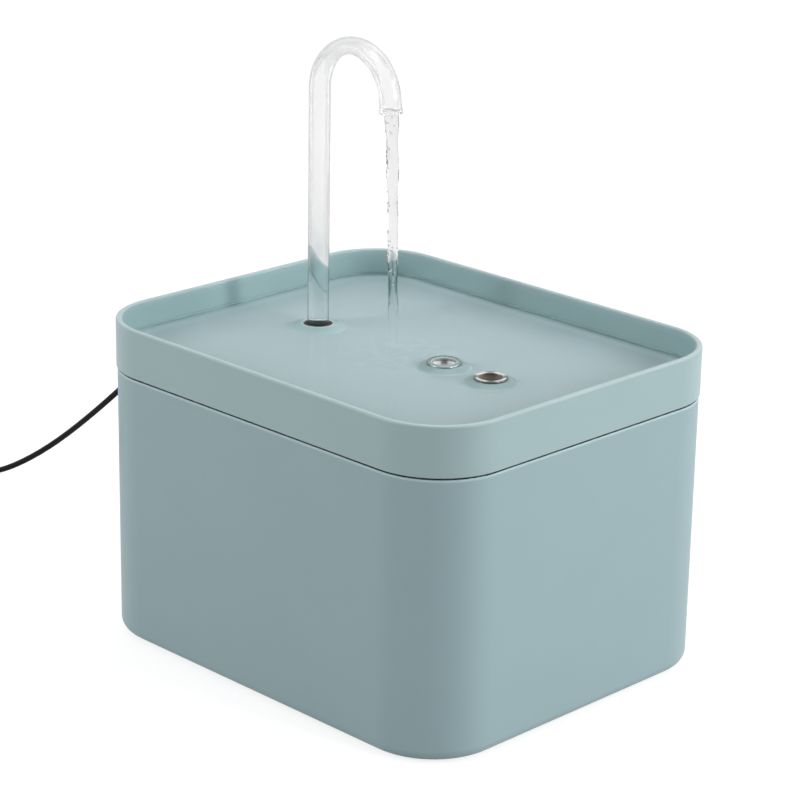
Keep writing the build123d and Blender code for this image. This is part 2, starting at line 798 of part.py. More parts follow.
# End of the cable, from the coil to the plug beside it
plug_x = coil_x - coil_mid_r - 1.0
plug_z = plug_h / 2
relief_y = coil_y - coil_mid_r - 9.0
tail_points = [
    (plug_x + 1.0, coil_y - 11.5, 3.2),
    (plug_x, coil_y - 17.0, plug_z),
    (plug_x, relief_y, plug_z),
]
save(cable_tube("cable_tail", tail_points), "cable_tail")


def plug_plane(y):
    """Plane across the plug, facing its open end."""
    return Plane(origin=(plug_x, y, plug_z), x_dir=(1, 0, 0), z_dir=(0, -1, 0))


plug_y = relief_y - relief_len
shell_y = plug_y - plug_len
with BuildPart() as usb_strain_relief:
    with BuildSketch(plug_plane(relief_y)):
        Circle(relief_tip_r)
    with BuildSketch(plug_plane(plug_y)):
        Circle(relief_r)
    loft()
save(usb_strain_relief.part, "usb_strain_relief")

with BuildPart() as usb_plug_body:
    with BuildSketch(plug_plane(plug_y)):
        RectangleRounded(plug_w, plug_h, plug_round)
    extrude(amount=plug_len)
    fillet(usb_plug_body.faces().sort_by(Axis.Y)[-1].edges(), plug_end_round)
save(usb_plug_body.part, "usb_plug_body")

with BuildPart() as usb_plug_shell:
    with BuildSketch(plug_plane(shell_y)):
        RectangleRounded(shell_w, shell_h, shell_round)
        RectangleRounded(
            shell_w - 2 * shell_wall, shell_h - 2 * shell_wall, shell_inner_r, mode=Mode.SUBTRACT
        )
    extrude(amount=shell_len)
save(usb_plug_shell.part, "usb_plug_shell")

insulator_z = plug_z + shell_h / 2 - shell_wall - push_fit - tongue_h / 2
with BuildPart() as usb_plug_insulator:
    with BuildSketch(plug_plane(shell_y)):
        with Locations((0, insulator_z - plug_z)):
            RectangleRounded(shell_w - 2 * shell_wall - 2 * push_fit, tongue_h, shell_inner_r)
    extrude(amount=tongue_len)
save(usb_plug_insulator.part, "usb_plug_insulator")

with BuildPart() as usb_contacts:
    with BuildSketch(Plane.XY.offset(insulator_z - tongue_h / 2 - contact_t)):
        with Locations((plug_x, shell_y - tongue_len / 2)):
            with GridLocations(contact_pitch, 1, 4, 1):
                Rectangle(contact_w, tongue_len - contact_short)
    extrude(amount=contact_t)
save(usb_contacts.part, "usb_contacts")
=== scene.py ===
import random
from math import copysign, cos, exp, hypot, pi, radians, sin, sqrt

import bmesh
import bpy
import numpy as np
from mathutils import Matrix, Vector, noise
from mathutils.geometry import delaunay_2d_cdt


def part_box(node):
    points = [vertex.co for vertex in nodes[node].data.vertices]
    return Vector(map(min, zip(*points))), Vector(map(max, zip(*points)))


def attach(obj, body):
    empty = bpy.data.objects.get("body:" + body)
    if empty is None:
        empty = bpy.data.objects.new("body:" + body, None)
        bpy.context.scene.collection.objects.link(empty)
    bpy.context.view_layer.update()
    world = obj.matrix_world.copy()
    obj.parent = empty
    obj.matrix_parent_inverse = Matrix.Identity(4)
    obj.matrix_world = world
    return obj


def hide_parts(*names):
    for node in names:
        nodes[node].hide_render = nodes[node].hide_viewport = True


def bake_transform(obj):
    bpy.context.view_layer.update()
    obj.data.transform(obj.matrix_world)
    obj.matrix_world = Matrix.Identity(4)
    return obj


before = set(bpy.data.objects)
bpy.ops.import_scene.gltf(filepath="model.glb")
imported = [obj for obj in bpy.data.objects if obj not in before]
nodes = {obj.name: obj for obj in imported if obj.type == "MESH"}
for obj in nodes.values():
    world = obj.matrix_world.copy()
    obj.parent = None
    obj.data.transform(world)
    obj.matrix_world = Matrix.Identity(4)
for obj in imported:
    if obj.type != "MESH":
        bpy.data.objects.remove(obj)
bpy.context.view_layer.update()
scene = bpy.context.scene
scene.view_settings.view_transform = "Standard"
mm = 0.001
print("frame loaded:", len(nodes), "nodes")


def addObject(name, data):
    thing = bpy.data.objects.new(name, data)
    scene.collection.objects.link(thing)
    return thing


# Camera: a long lens, looking down a little on the front corner
shot = {
    "place": (0.66384, -0.67029, 0.41808), "heading": 44.83, "downward": 18.956, "roll": 1.019,
    "lens": 124.14,
}


def addCamera():
    data = bpy.data.cameras.new("shotCamera")
    data.lens = shot["lens"]
    data.clip_start, data.clip_end = 0.05, 20
    camera = addObject("shotCamera", data)
    turns = (
        Matrix.Rotation(radians(shot["heading"]), 4, "Z")
        @ Matrix.Rotation(radians(90 - shot["downward"]), 4, "X")
        @ Matrix.Rotation(radians(shot["roll"]), 4, "Z")
    )
    camera.matrix_world = Matrix.Translation(shot["place"]) @ turns
    scene.camera = camera


addCamera()

# Pump cable: 1.5 m in all, with 0.15 m of it inside the tank and the rest wound up behind
cable = {
    "radius": 1.2 * mm,
    "length": 1.40,
    "exit": (-0.0998, 0, 0.0986),
    "route": [  # out of the rim's notch, down in a slack curve and along the floor
        (-0.0883, 0, 0.0986),
        (-0.107, 0, 0.0986),
        (-0.131, 0.0015, 0.0857),
        (-0.173, 0.0008, 0.0482),
        (-0.212, 0.0004, 0.0178),
        (-0.238, -0.007, 0.0016),
        (-0.251, -0.0105, 0.0013),
        (-0.2605, -0.0106, 0.0016),
    ],
    "tail": [
        (-0.2866, -0.0345, 0.0080),
        (-0.2849, -0.0425, 0.0050),
        (-0.2845, -0.0485, 0.0040),
        (-0.2845, -0.0535, 0.0040),
    ],
    "coilMiddle": (-0.270, -0.0273),
    "coilRadius": 13.5 * mm,
    "coilBottom": 1.9 * mm,
    "settle": 0.3 * mm,  # how far the far side of the coil drops off the tie
    "fanOut": 0.05,  # the turns spread this much more opposite the tie
    "wander": 0.12 * mm,
    "pointsPerTurn": 16,
    "turns": [  # track from the outside in, and layer from the floor up
        (0, 0), (1, 0), (2, 0), (3, 0), (3, 1), (2, 1), (1, 1), (0, 1),
        (0, 2), (1, 2), (2, 2), (2, 3), (1, 3), (0, 3),
    ],
    "lastTurn": 0.25,
}


def softStep(t):
    t = min(max(t, 0.0), 1.0)
    return t * t * (3 - 2 * t)


# The point this far from a middle, in this direction
def polar(far, angle, x=0.0, y=0.0):
    return x + far * cos(angle), y + far * sin(angle)


# The coil's own points: each turn keeps to its track and slips to the next over its last quarter
def coilPoints():
    steps, found = cable["pointsPerTurn"], []
    pitch = 2.03 * cable["radius"]
    whole = len(cable["turns"]) - 1
    chance = random.Random(7)
    for k in range(int((whole + cable["lastTurn"]) * steps) + 1):
        turn, share = divmod(k / steps, 1.0)
        here = cable["turns"][int(turn)]
        after = cable["turns"][min(int(turn) + 1, whole)]
        slip = softStep((share - 0.78) / 0.22)
        track, layer = (a + (b - a) * slip for a, b in zip(here, after))
        angle = pi / 2 + 2 * pi * share
        away = (1 - cos(angle)) / 2
        climb = abs(after[1] - here[1]) * sin(pi * slip) * 0.8 * mm
        outward = 1 if here[0] == 0 else -1
        radius = cable["coilRadius"] + pitch * (1.5 - track) * (1 + cable["fanOut"] * away) + outward * climb
        radius = radius / cos(pi / steps) + chance.uniform(-1, 1) * cable["wander"]
        height = cable["coilBottom"] + 2.0 * cable["radius"] * layer - 2 * cable["settle"] * away
        found.append((*polar(radius, angle, *cable["coilMiddle"]), height))
    return found


# A cable as one smooth curve through its route, with its round section on it
def addCable(name, route, radius):
    curve = bpy.data.curves.new(name, "CURVE")
    curve.dimensions = "3D"
    curve.bevel_depth = 1.0  # times each point's own radius
    curve.bevel_resolution = 5
    curve.resolution_u = 6
    curve.use_fill_caps = True
    spline = curve.splines.new("NURBS")
    spline.points.add(len(route) - 1)
    for point, spot in zip(spline.points, route):
        point.co = (*spot, 1.0)
        point.radius = radius
    spline.order_u = 3
    spline.use_endpoint_u = True
    return addObject(name, curve)


cableLine = addCable("cableLine", cable["route"] + coilPoints() + cable["tail"], cable["radius"])
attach(cableLine, "base")
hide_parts("cable_free", "cable_coil", "cable_tail")

# The same cable inside the tank, from the pump's gland up to the rim
lead = {
    "route": [
        (-0.046, 0.036, 0.0236),
        (-0.046, 0.054, 0.0236),
        (-0.058, 0.063, 0.034),
        (-0.070, 0.056, 0.058),
        (-0.070, 0.036, 0.078),
        (-0.063, 0.016, 0.093),
        (-0.070, 0.000, 0.0986),
        (-0.0883, 0.000, 0.0986),
    ],
    "length": 0.146,
}
leadLine = addCable("leadLine", lead["route"], cable["radius"])
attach(leadLine, "base")
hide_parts("pump_lead")
print("camera and cables placed")


# A shader node's output that adds and multiplies like a number, each time by one more Math node
class Value:
    def __init__(self, socket):
        self.socket, self.tree = socket, socket.id_data


for sign, operation in (("add", "ADD"), ("sub", "SUBTRACT"), ("mul", "MULTIPLY"), ("truediv", "DIVIDE")):
    setattr(Value, f"__{sign}__", lambda a, b, operation=operation: maths(operation, a, b))
    setattr(Value, f"__r{sign}__", lambda a, b, operation=operation: maths(operation, b, a))


# A node's inputs take numbers, colours or other nodes' values
def feed(node, inputs):
    for key, value in inputs.items():
        socket = node.inputs[key]
        if isinstance(value, Value):
            value.tree.links.new(value.socket, socket)
        elif isinstance(value, tuple) and len(value) == 3:
            socket.default_value = (*value, 1.0)
        else:
            socket.default_value = value


# A new node, as the value of one of its outputs, or of all of them by name
def put(tree, kind, inputs=None, out=0, **settings):
    node = tree.nodes.new("ShaderNode" + kind)
    for key, value in settings.items():
        setattr(node, key, value)
    feed(node, inputs or {})
    if out is None:
        return {socket.name: Value(socket) for socket in node.outputs}
    return Value(node.outputs[out])


def maths(operation, a, b=0.0, clamp=False):
    tree = (a if isinstance(a, Value) else b).tree
    return put(tree, "Math", {0: a, 1: b}, operation=operation, use_clamp=clamp)


def distance(a, b):
    return maths("SQRT", a * a + b * b)


# The part of a value from start to end, spread over low to high
def spread(value, low, high, start=0.0, end=1.0, kind="LINEAR"):
    limits = {"Value": value, "From Min": start, "From Max": end, "To Min": low, "To Max": high}
    return put(value.tree, "MapRange", limits, interpolation_type=kind)


# A colour with others laid over it, each by its own share
def layered(colour, *layers):
    for share, over in layers:
        colour = put(share.tree, "Mix", {0: share, 6: colour, 7: over}, out=2, data_type="RGBA")
    return colour


def objectPlace(tree):
    return put(tree, "TexCoord", out="Object")


def axes(tree):
    return put(tree, "SeparateXYZ", {0: objectPlace(tree)}, out=None).values()


# Object coordinates counted in steps of this size
def scaled(tree, size):
    return put(tree, "VectorMath", {0: objectPlace(tree), "Scale": 1.0 / size}, operation="SCALE")


def noiseAt(where, size, detail=2.0, roughness=0.5, distortion=0.0):
    shape = {"Scale": 1 / size, "Detail": detail, "Roughness": roughness, "Distortion": distortion}
    return put(where.tree, "TexNoise", {"Vector": where, **shape})


def noiseAlong(value, scale, detail):
    return put(value.tree, "TexNoise", {"W": value, "Scale": scale, "Detail": detail}, noise_dimensions="1D")


def cellsAt(where, size, out="Distance", **settings):
    return put(where.tree, "TexVoronoi", {"Vector": where, "Scale": 1 / size}, out, **settings)


def surfaceNormal(tree):
    return put(tree, "NewGeometry", out="Normal")


def relief(height, depth):
    return put(height.tree, "Bump", {"Strength": 1.0, "Distance": depth, "Height": height})


# A node group with named inputs and outputs; its recipe works the outputs out from the inputs
def newGroup(name, inputs, outputs, recipe):
    tree = bpy.data.node_groups.new(name, "ShaderNodeTree")
    for label, value in inputs.items():
        socket = tree.interface.new_socket(label, in_out="INPUT", socket_type="NodeSocketFloat")
        socket.default_value = value
    for label in outputs:
        tree.interface.new_socket(label, in_out="OUTPUT", socket_type="NodeSocketFloat")
    given = tree.nodes.new("NodeGroupInput").outputs
    made = recipe(tree, *(Value(given[label]) for label in inputs))
    feed(tree.nodes.new("NodeGroupOutput"), dict(zip(outputs, made)))
    return tree


def place(tree, group, **values):
    return put(tree, "Group", values, out=None, node_tree=group)


# Spark-eroded mould texture: a fine grain, a slow mottle and sparse flecks
def grainRecipe(tree, grain, mottle):
    fine, slow = noiseAt(scaled(tree, grain), 1.0, 3.0), noiseAt(scaled(tree, mottle), 1.0)
    pits = cellsAt(scaled(tree, grain), 1 / 0.35)
    return fine, spread(slow, 0, 1, 0.3, 0.7), spread(pits, 1, 0, 0.05, 0.3)


# Rubbed edges, which also carry a painted edge highlight: where a rounded normal leaves the true one, broken
# up by noise
def wearAndHighlightRecipe(tree, width, breakSize):
    rounded = {0: put(tree, "Bevel", {"Radius": width}, samples=4), 1: surfaceNormal(tree)}
    lean = put(tree, "VectorMath", rounded, out="Value", operation="DOT_PRODUCT")
    patchy = noiseAt(scaled(tree, breakSize), 1.0, 4.0)
    return [spread(lean, 1, 0, 0.8, 0.995) * spread(patchy, 0.5, 1, 0.35, 0.65)]


# Dust that settles on what faces up
def dustRecipe(tree, size, steepness):
    up = put(tree, "SeparateXYZ", {0: surfaceNormal(tree)}, out="Z")
    cloud = noiseAt(scaled(tree, size), 1 / 0.3, 5.0, 0.7)
    return [spread(up, 0, 1, steepness, 1.0) * spread(cloud, 0, 1, 0.4, 0.75)]


# Fine wear lines, drawn out along X, and slow patches
def hairlineRecipe(tree, width, stretch):
    x, y, z = axes(tree)
    across = 1.0 / width
    drawn = put(tree, "CombineXYZ", {"X": x * (across / stretch), "Y": y * across, "Z": z * across})
    patch = noiseAt(objectPlace(tree), 1 / 60, 3.0)
    return spread(noiseAt(drawn, 1.0, 3.0), 0, 1, 0.35, 0.65), spread(patch, 0, 1, 0.35, 0.65)


# Lathe marks round an upright axis through X, Y
def turningRecipe(tree, x0, y0, pitch):
    x, y, z = axes(tree)
    dx, dy = x - x0, y - y0
    groove = noiseAlong(distance(dx, dy) / pitch + z / pitch, 1.0, 2.0)
    streak = noiseAlong(maths("ARCTAN2", dy, dx), 9.0, 3.0)
    return groove, spread(streak, 0, 1, 0.3, 0.7)


# The dull bloom that dried water leaves
def bloomRecipe(tree, size):
    return [spread(noiseAt(scaled(tree, size), 4.0, 5.0, 0.65), 0, 1, 0.45, 0.7)]


mouldGrain = newGroup(
    "mouldGrain", {"Grain": 0.4 * mm, "Mottle": 25 * mm}, ("Height", "Mottle", "Fleck"), grainRecipe
)
edgeRub = newGroup("edgeRub", {"Width": 0.6 * mm, "Break": 3 * mm}, ["Mask"], wearAndHighlightRecipe)
settledDust = newGroup("settledDust", {"Size": 2 * mm, "Steepness": 0.6}, ["Mask"], dustRecipe)
hairlines = newGroup("hairlines", {"Width": 0.15 * mm, "Stretch": 30.0}, ("Line", "Patch"), hairlineRecipe)
turning = newGroup("turning", {"X": 0.0, "Y": 0.0, "Pitch": 0.12 * mm}, ("Groove", "Streak"), turningRecipe)
waterMarks = newGroup("waterMarks", {"Size": 5 * mm}, ["Bloom"], bloomRecipe)
print("shared node groups built")


# A material, whose recipe works the shader's inputs out, on nodes' own objects or on new pieces
def dress(name, recipe, look, *things):
    material = bpy.data.materials.new(name)
    material.use_nodes = True
    tree = material.node_tree
    feed(tree.nodes["Principled BSDF"], recipe(tree, look))
    for thing in things:
        slots = (nodes[thing] if isinstance(thing, str) else thing).data.materials
        slots.clear()
        slots.append(material)


# A band between two heights, broken up a little along its length
def bandBetween(tree, low, high, soft):
    x, y, z = axes(tree)
    broken = spread(noiseAt(objectPlace(tree), 2 * mm, 3.0), 0.8, 1.0, 0.35, 0.65)
    return spread(z, 0, 1, low, low + soft) * spread(z, 1, 0, high, high + soft) * broken


# Where the basin is wet, and shares of its fillet, of its painted light near the walls and of its painted
# shade against them, by their distance from the wall
def wetInside(tree, look):
    x, y, z = axes(tree)
    halfX, halfY, corner = look["basin"]
    beyond = [maths("ABSOLUTE", along) - (half - corner) for along, half in ((x, halfX), (y, halfY))]
    squareX, squareY = (maths("POWER", maths("MAXIMUM", b), 2.0) for b in beyond)
    far = maths("SQRT", squareX + squareY)
    inside = spread(far, 1, 0, corner + 0.02 * mm, corner + 0.12 * mm)
    shares = {"fillet": spread(far, 0, 1, corner - 1.05 * mm, corner - 0.75 * mm)}
    for part in ("apron", "margin"):
        start, end, share = look[part]
        shares[part] = spread(far, 0.0, share, corner - start, corner - end, "SMOOTHSTEP")
    ragged = z + spread(noiseAt(objectPlace(tree), 14 * mm, 3.0), -0.6 * mm, 0.6 * mm)
    low = spread(ragged, 1, 0, look["wetTop"], look["wetTop"] + 2.2 * mm)
    return inside * low * maths("GREATER_THAN", z, look["wetBottom"]), shares


def basinColour(tree, look, colour):
    wet, shares = wetInside(tree, look)
    x, y, z = axes(tree)
    # light that the ripples gather into wandering lines round the landing stream
    middle, near, end = look["ripples"]
    ridge = maths("ABSOLUTE", noiseAt(objectPlace(tree), 13 * mm, 1.5, 0.5, 1.2) - 0.5)
    lines = spread(ridge, look["rippleShare"], 0, 0.0, 0.08)
    lines = lines * spread(distance(x - middle, y), 1, 0, near, end)
    floor = layered(
        look["floorColour"],
        # painted light near the walls, and painted shade right against them
        (shares["apron"], look["apronColour"]),
        (shares["margin"], look["marginColour"]),
        (lines, look["rippleColour"]),
    )
    under = wet * spread(z, 1, 0, *look["floorBand"])
    # painted shade on the mounds round the drains, and on the fillet at the wall's foot
    mound = wet * (1.0 - under) * spread(x, 0, 1, *look["moundsFrom"]) * (1.0 - shares["apron"])
    fillet = wet * shares["fillet"] * spread(z, 1, 0, *look["filletTop"])
    # a painted highlight round the edge of the spout's hole
    holeX, lipStart, lipEnd = look["lip"]
    high = maths("GREATER_THAN", z, look["floorBand"][1])
    lip = high * spread(distance(x - holeX, y), 1, 0, lipStart, lipEnd)
    return wet, layered(
        colour,
        # darker inside the basin: partly wet plastic, partly painted shade
        (wet, look["wetColour"]),
        (under, floor),
        (mound, look["moundColour"]),
        (fillet, look["filletColour"]),
        (lip, look["lipColour"]),
    )


# Injection-moulded plastic: mottled colour, grain, paler edges from rub wear and a painted highlight, and a
# little dust
def mouldedPlastic(tree, look):
    grain = place(tree, mouldGrain, Grain=look["grain"], Mottle=look["mottle"])
    wearAndHighlight = place(tree, edgeRub, Width=look["edge"])
    dust = place(tree, settledDust, Size=1.5 * mm)
    marks = place(tree, waterMarks, Size=look["markSize"])
    colour = layered(look["colour"], (grain["Mottle"] * look["mottled"], look["shade"]))
    rough = spread(grain["Mottle"], look["rough"] - 0.03, look["rough"] + 0.03)
    if "basin" in look:
        wet, colour = basinColour(tree, look, colour)
        rough = rough - wet * look["wetSmoother"]
    layers = [
        (wearAndHighlight["Mask"] * look["rubbed"], look["rubColour"]),
        (dust["Mask"] * look["dust"], (0.62, 0.6, 0.57)),
    ]
    if "seam" in look:  # painted shade in the seam's gap, and a painted highlight band along a rounded edge
        layers.append((bandBetween(tree, *look["worn"], 0.35 * mm), look["wornColour"]))
        layers.append((bandBetween(tree, *look["seam"], 0.08 * mm), look["dirt"]))
    return {
        "Base Color": layered(colour, *layers),
        "Roughness": maths("ADD", rough, marks["Bloom"] * look["marks"], clamp=True),
        "Normal": relief(grain["Height"] + grain["Fleck"] * 0.25, look["depth"]),
    }


# Moulded rubber and silicone: matt, dusty, with a slight bloom
def rubber(tree, look):
    grain = place(tree, mouldGrain, Grain=look["grain"], Mottle=8 * mm)
    dust = place(tree, settledDust, Size=1.2 * mm, Steepness=0.2)
    wearAndHighlight = place(tree, edgeRub, Width=0.3 * mm)
    return {
        "Base Color": layered(
            look["colour"],
            (grain["Mottle"], look["shade"]),
            (dust["Mask"] * look["dust"], (0.45, 0.44, 0.42)),
            (wearAndHighlight["Mask"] * look["rubbed"], look["rubColour"]),
        ),
        "Roughness": spread(grain["Height"], look["rough"] - 0.08, look["rough"] + 0.08),
        "Specular IOR Level": look.get("specular", 0.5),
        "Normal": relief(grain["Height"], look["depth"]),
    }


# Plain metal: hairlines and handling marks, duller where it is patchy
def bareMetal(tree, look):
    lines = place(tree, hairlines, Width=look["line"], Stretch=look["stretch"])
    wearAndHighlight = place(tree, edgeRub, Width=0.2 * mm)
    return {
        "Base Color": layered(
            look["colour"], (lines["Patch"], look["shade"]), (wearAndHighlight["Mask"] * 0.5, look["bright"])
        ),
        "Metallic": 1.0,
        "Roughness": lines["Line"] * 0.1 + look["rough"],
        "Normal": relief(lines["Line"], look["depth"]),
    }


# Clear pieces let the lamps' light through, so that what is behind them is lit
def clearPiece(tree, look):
    where, (x, y, z) = objectPlace(tree), axes(tree)
    # painted shade: the colour darkens towards the edges, by the bands
    facing = put(tree, "LayerWeight", {"Blend": 0.5}, out="Facing")
    edgeShade = put(tree, "ValToRGB", {0: facing})
    stops = edgeShade.socket.node.color_ramp.elements
    for number, (at, grey) in enumerate(look["bands"]):
        stop = stops[number] if number < 2 else stops.new(at)
        stop.position, stop.color = at, (grey, min(grey * 1.005, 1), min(grey * 1.008, 1), 1)
    streak = place(tree, hairlines, Width=look["streakSize"], Stretch=1.0)["Line"]
    colour = layered(edgeShade, (streak * look["streaks"], (1.0, 1.0, 1.0)))
    if "strokes" in look:  # painted shade lines at the edges, over a stretch of its height
        inBand = spread(z, 0, 1, *look["strokes"][:2]) * spread(z, 1, 0, *look["strokes"][2:])
        colour = layered(colour, (inBand * spread(facing, 0, 0.9, 0.12, 0.42), look["strokeColour"]))
    smudge = noiseAt(where, look["smudgeSize"], 4.0, 0.6)
    rough = spread(smudge, look["rough"], look["rough"] + look["smudge"], 0.45, 0.7)
    if "froth" in look:
        middle, reach, frothRough = look["froth"]
        rough = rough + spread(maths("ABSOLUTE", z - middle), frothRough, 0, 0, reach)
    alpha = 1.0
    if "thinsFrom" in look:
        edge = spread(facing, 1, look["thinEdge"], 0.35, 0.8)
        alpha = 1.0 - edge * spread(z, 0.0, look["thinnest"], *look["thinsFrom"])
    clear = put(tree, "BsdfTransparent", {"Color": look["passes"]})
    shadow = put(tree, "LightPath", out="Is Shadow Ray")
    tube = Value(tree.nodes["Principled BSDF"].outputs[0])
    surface = put(tree, "MixShader", {0: shadow, 1: tube, 2: clear})
    feed(tree.nodes["Material Output"], {"Surface": surface})
    return {
        "Base Color": colour,
        "Roughness": rough,
        "Alpha": alpha,
        "Transmission Weight": 1.0,
        "IOR": look["ior"],
        "Normal": relief(noiseAt(where, look["waveSize"]), look["waveDepth"]),
    }


# Tank: satin blue-green polypropylene, all but unmarked
tankLook = {
    "colour": (0.338, 0.474, 0.502), "shade": (0.325, 0.459, 0.486), "mottled": 0.6, "rough": 0.40,
    "grain": 0.35 * mm, "mottle": 30 * mm, "depth": 0.010 * mm, "edge": 0.5 * mm, "rubbed": 0.22,
    "rubColour": (0.55, 0.67, 0.68), "dust": 0.05, "marks": 0.03, "markSize": 6 * mm,
    # painted shade in the seam's gap, and a painted highlight on the tank's rounded top edge below it
    "seam": (102.5 * mm, 103.4 * mm), "dirt": (0.03, 0.045, 0.05), "worn": (101.6 * mm, 102.6 * mm),
    "wornColour": (0.50, 0.66, 0.70),
}
dress("tankPlastic", mouldedPlastic, tankLook, "tank")

# Tray: the same plastic, a shade greener and smoother
trayLook = {
    "colour": (0.382, 0.524, 0.540), "shade": (0.366, 0.507, 0.521), "mottled": 0.6, "rough": 0.34,
    "grain": 0.3 * mm, "mottle": 24 * mm, "depth": 0.007 * mm, "edge": 0.7 * mm, "rubbed": 0.3,
    "rubColour": (0.64, 0.76, 0.755), "dust": 0.0, "marks": 0.06, "markSize": 4 * mm,
    # painted shade under the tray's edge at the seam, and a painted highlight along the rim's top
    "seam": (103.0 * mm, 103.30 * mm), "dirt": (0.045, 0.06, 0.062), "worn": (120.93 * mm, 122.0 * mm),
    "wornColour": (0.63, 0.775, 0.79),
    "basin": (87.7 * mm, 72.45 * mm, 25.2 * mm),  # half length, half width and corner of the basin
    # the basin's inside is darker: partly wet plastic, partly painted shade
    "wetTop": 118.6 * mm, "wetBottom": 110.9 * mm, "wetColour": (0.325, 0.475, 0.485),
    "wetSmoother": 0.03,
    "floorBand": (111.15 * mm, 111.9 * mm),  # the flat floor is paler than the walls and mounds
    "floorColour": (0.376, 0.500, 0.525),
    "apron": (9.5 * mm, 3 * mm, 1.0),  # painted light, palest near the walls, from and to these distances
    "apronColour": (0.455, 0.605, 0.632),
    "margin": (4.6 * mm, 0.0, 0.62),  # and painted shade, deeper right against them
    "marginColour": (0.22, 0.37, 0.37),
    "ripples": (-3 * mm, 8 * mm, 34 * mm),  # middle in X, and from where to where they fade
    "rippleShare": 0.8, "rippleColour": (0.43, 0.56, 0.585),
    "moundsFrom": (5 * mm, 7 * mm),  # only the drains' mounds, in X
    # painted shade on the drains' mounds and on the fillet at the wall's foot
    "moundColour": (0.262, 0.374, 0.38), "filletTop": (111.9 * mm, 112.3 * mm),
    "filletColour": (0.20, 0.335, 0.345),
    "lip": (-46 * mm, 5.8 * mm, 6.3 * mm),  # the spout hole's X, and the painted highlight ring round it
    "lipColour": (0.78, 0.88, 0.87),
}
dress("trayPlastic", mouldedPlastic, trayLook, "tray")
print("tank and tray finished")


# A finished bmesh as a smooth new piece
def addPiece(name, work):
    mesh = bpy.data.meshes.new(name)
    work.to_mesh(mesh)
    work.free()
    mesh.shade_smooth()
    return addObject(name, mesh)


# New piece from points in metres, all its normals turned outward
def addMesh(name, points, faces):
    work = bmesh.new()
    corners = [work.verts.new(p) for p in points]
    for face in faces:
        work.faces.new([corners[k] for k in face])
    bmesh.ops.recalc_face_normals(work, faces=work.faces)
    return addPiece(name, work)


# Quads from ring to ring; "around" joins the last ring to the first, or else both ends are capped
def skin(rings, around=False):
    count = len(rings[0])
    points, faces = np.vstack(rings), []
    for r in range(len(rings) if around else len(rings) - 1):
        a, b = r * count, (r + 1) % len(rings) * count
        for k in range(count):
            n = (k + 1) % count
            faces.append((a + k, a + n, b + n, b + k))
    if not around:
        last = (len(rings) - 1) * count
        points = np.vstack([points, rings[0].mean(0), rings[-1].mean(0)])
        for k in range(count):
            n = (k + 1) % count
            faces.append((len(points) - 2, n, k))
            faces.append((len(points) - 1, last + k, last + n))
    return points, faces


# Spout: bent by hand from clear tube, so the bend is a little flat
spout = {
    "x": -46.0 * mm, "foot": 54.0 * mm, "riserTop": 201.25 * mm, "bendRadius": 18.05 * mm,
    "turn": 173.0, "tail": 5.3 * mm, "radius": 4.0 * mm, "wall": 1.1 * mm,
    "flattened": 0.85 * mm,  # taken off the half thickness at the crown
    "widened": 0.55 * mm,  # and what it gains across
    "lip": 0.28 * mm,  # the heated end rolls out by this
    "lipLength": 3.2 * mm, "riserSteps": 45, "bendSteps": 72, "tailSteps": 8, "sides": 56,
}
spoutFinish = {
    "bands": [  # painted edge shade: its colour, from the middle of the round piece at 0 out to its edge at 1
        (0.0, 1.0), (1.0, 0.03), (0.05, 0.997), (0.10, 0.98), (0.22, 1.0), (0.46, 0.997), (0.60, 0.84),
        (0.78, 0.36),
    ],
    "streaks": 0.35, "streakSize": 1.3 * mm, "passes": (0.52, 0.53, 0.53),
    "thinsFrom": (135 * mm, 180 * mm),  # it clears over these heights, by this much
    "thinnest": 0.75, "thinEdge": 0.0, "ior": 1.49, "rough": 0.0, "smudge": 0.035,
    "smudgeSize": 12 * mm, "waveSize": 9 * mm, "waveDepth": 0.03 * mm,
}


# Stations along the spout: centre, the direction out of the bend, and how flat it is there
def spoutStations():
    x, top, bend = spout["x"], spout["riserTop"], spout["bendRadius"]
    risers = np.linspace(spout["foot"], top, spout["riserSteps"] + 1)[:-1]
    found = [(Vector((x, 0, z)), Vector((-1, 0, 0)), 0.0) for z in risers]
    whole = radians(spout["turn"])
    for k in range(spout["bendSteps"] + 1):
        turned = whole * k / spout["bendSteps"]
        out = Vector((-cos(turned), 0, sin(turned)))
        flat = softStep(turned / 0.75) * softStep((whole - turned) / 0.9)
        found.append((Vector((x + bend, 0, top)) + out * bend, out, flat))
    last, out, _ = found[-1]
    along = Vector((out.z, 0, -out.x))
    for k in range(1, spout["tailSteps"] + 1):
        found.append((last + along * spout["tail"] * k / spout["tailSteps"], out, 0.0))
    return found, along


def ringAt(centre, out, halfOut, halfAcross, sides):
    turns = np.linspace(0, 2 * pi, sides, endpoint=False)[:, None]
    outward, across = np.array(out)[None], np.array((0.0, 1.0, 0.0))[None]
    return np.array(centre)[None] + np.cos(turns) * halfOut * outward + np.sin(turns) * halfAcross * across


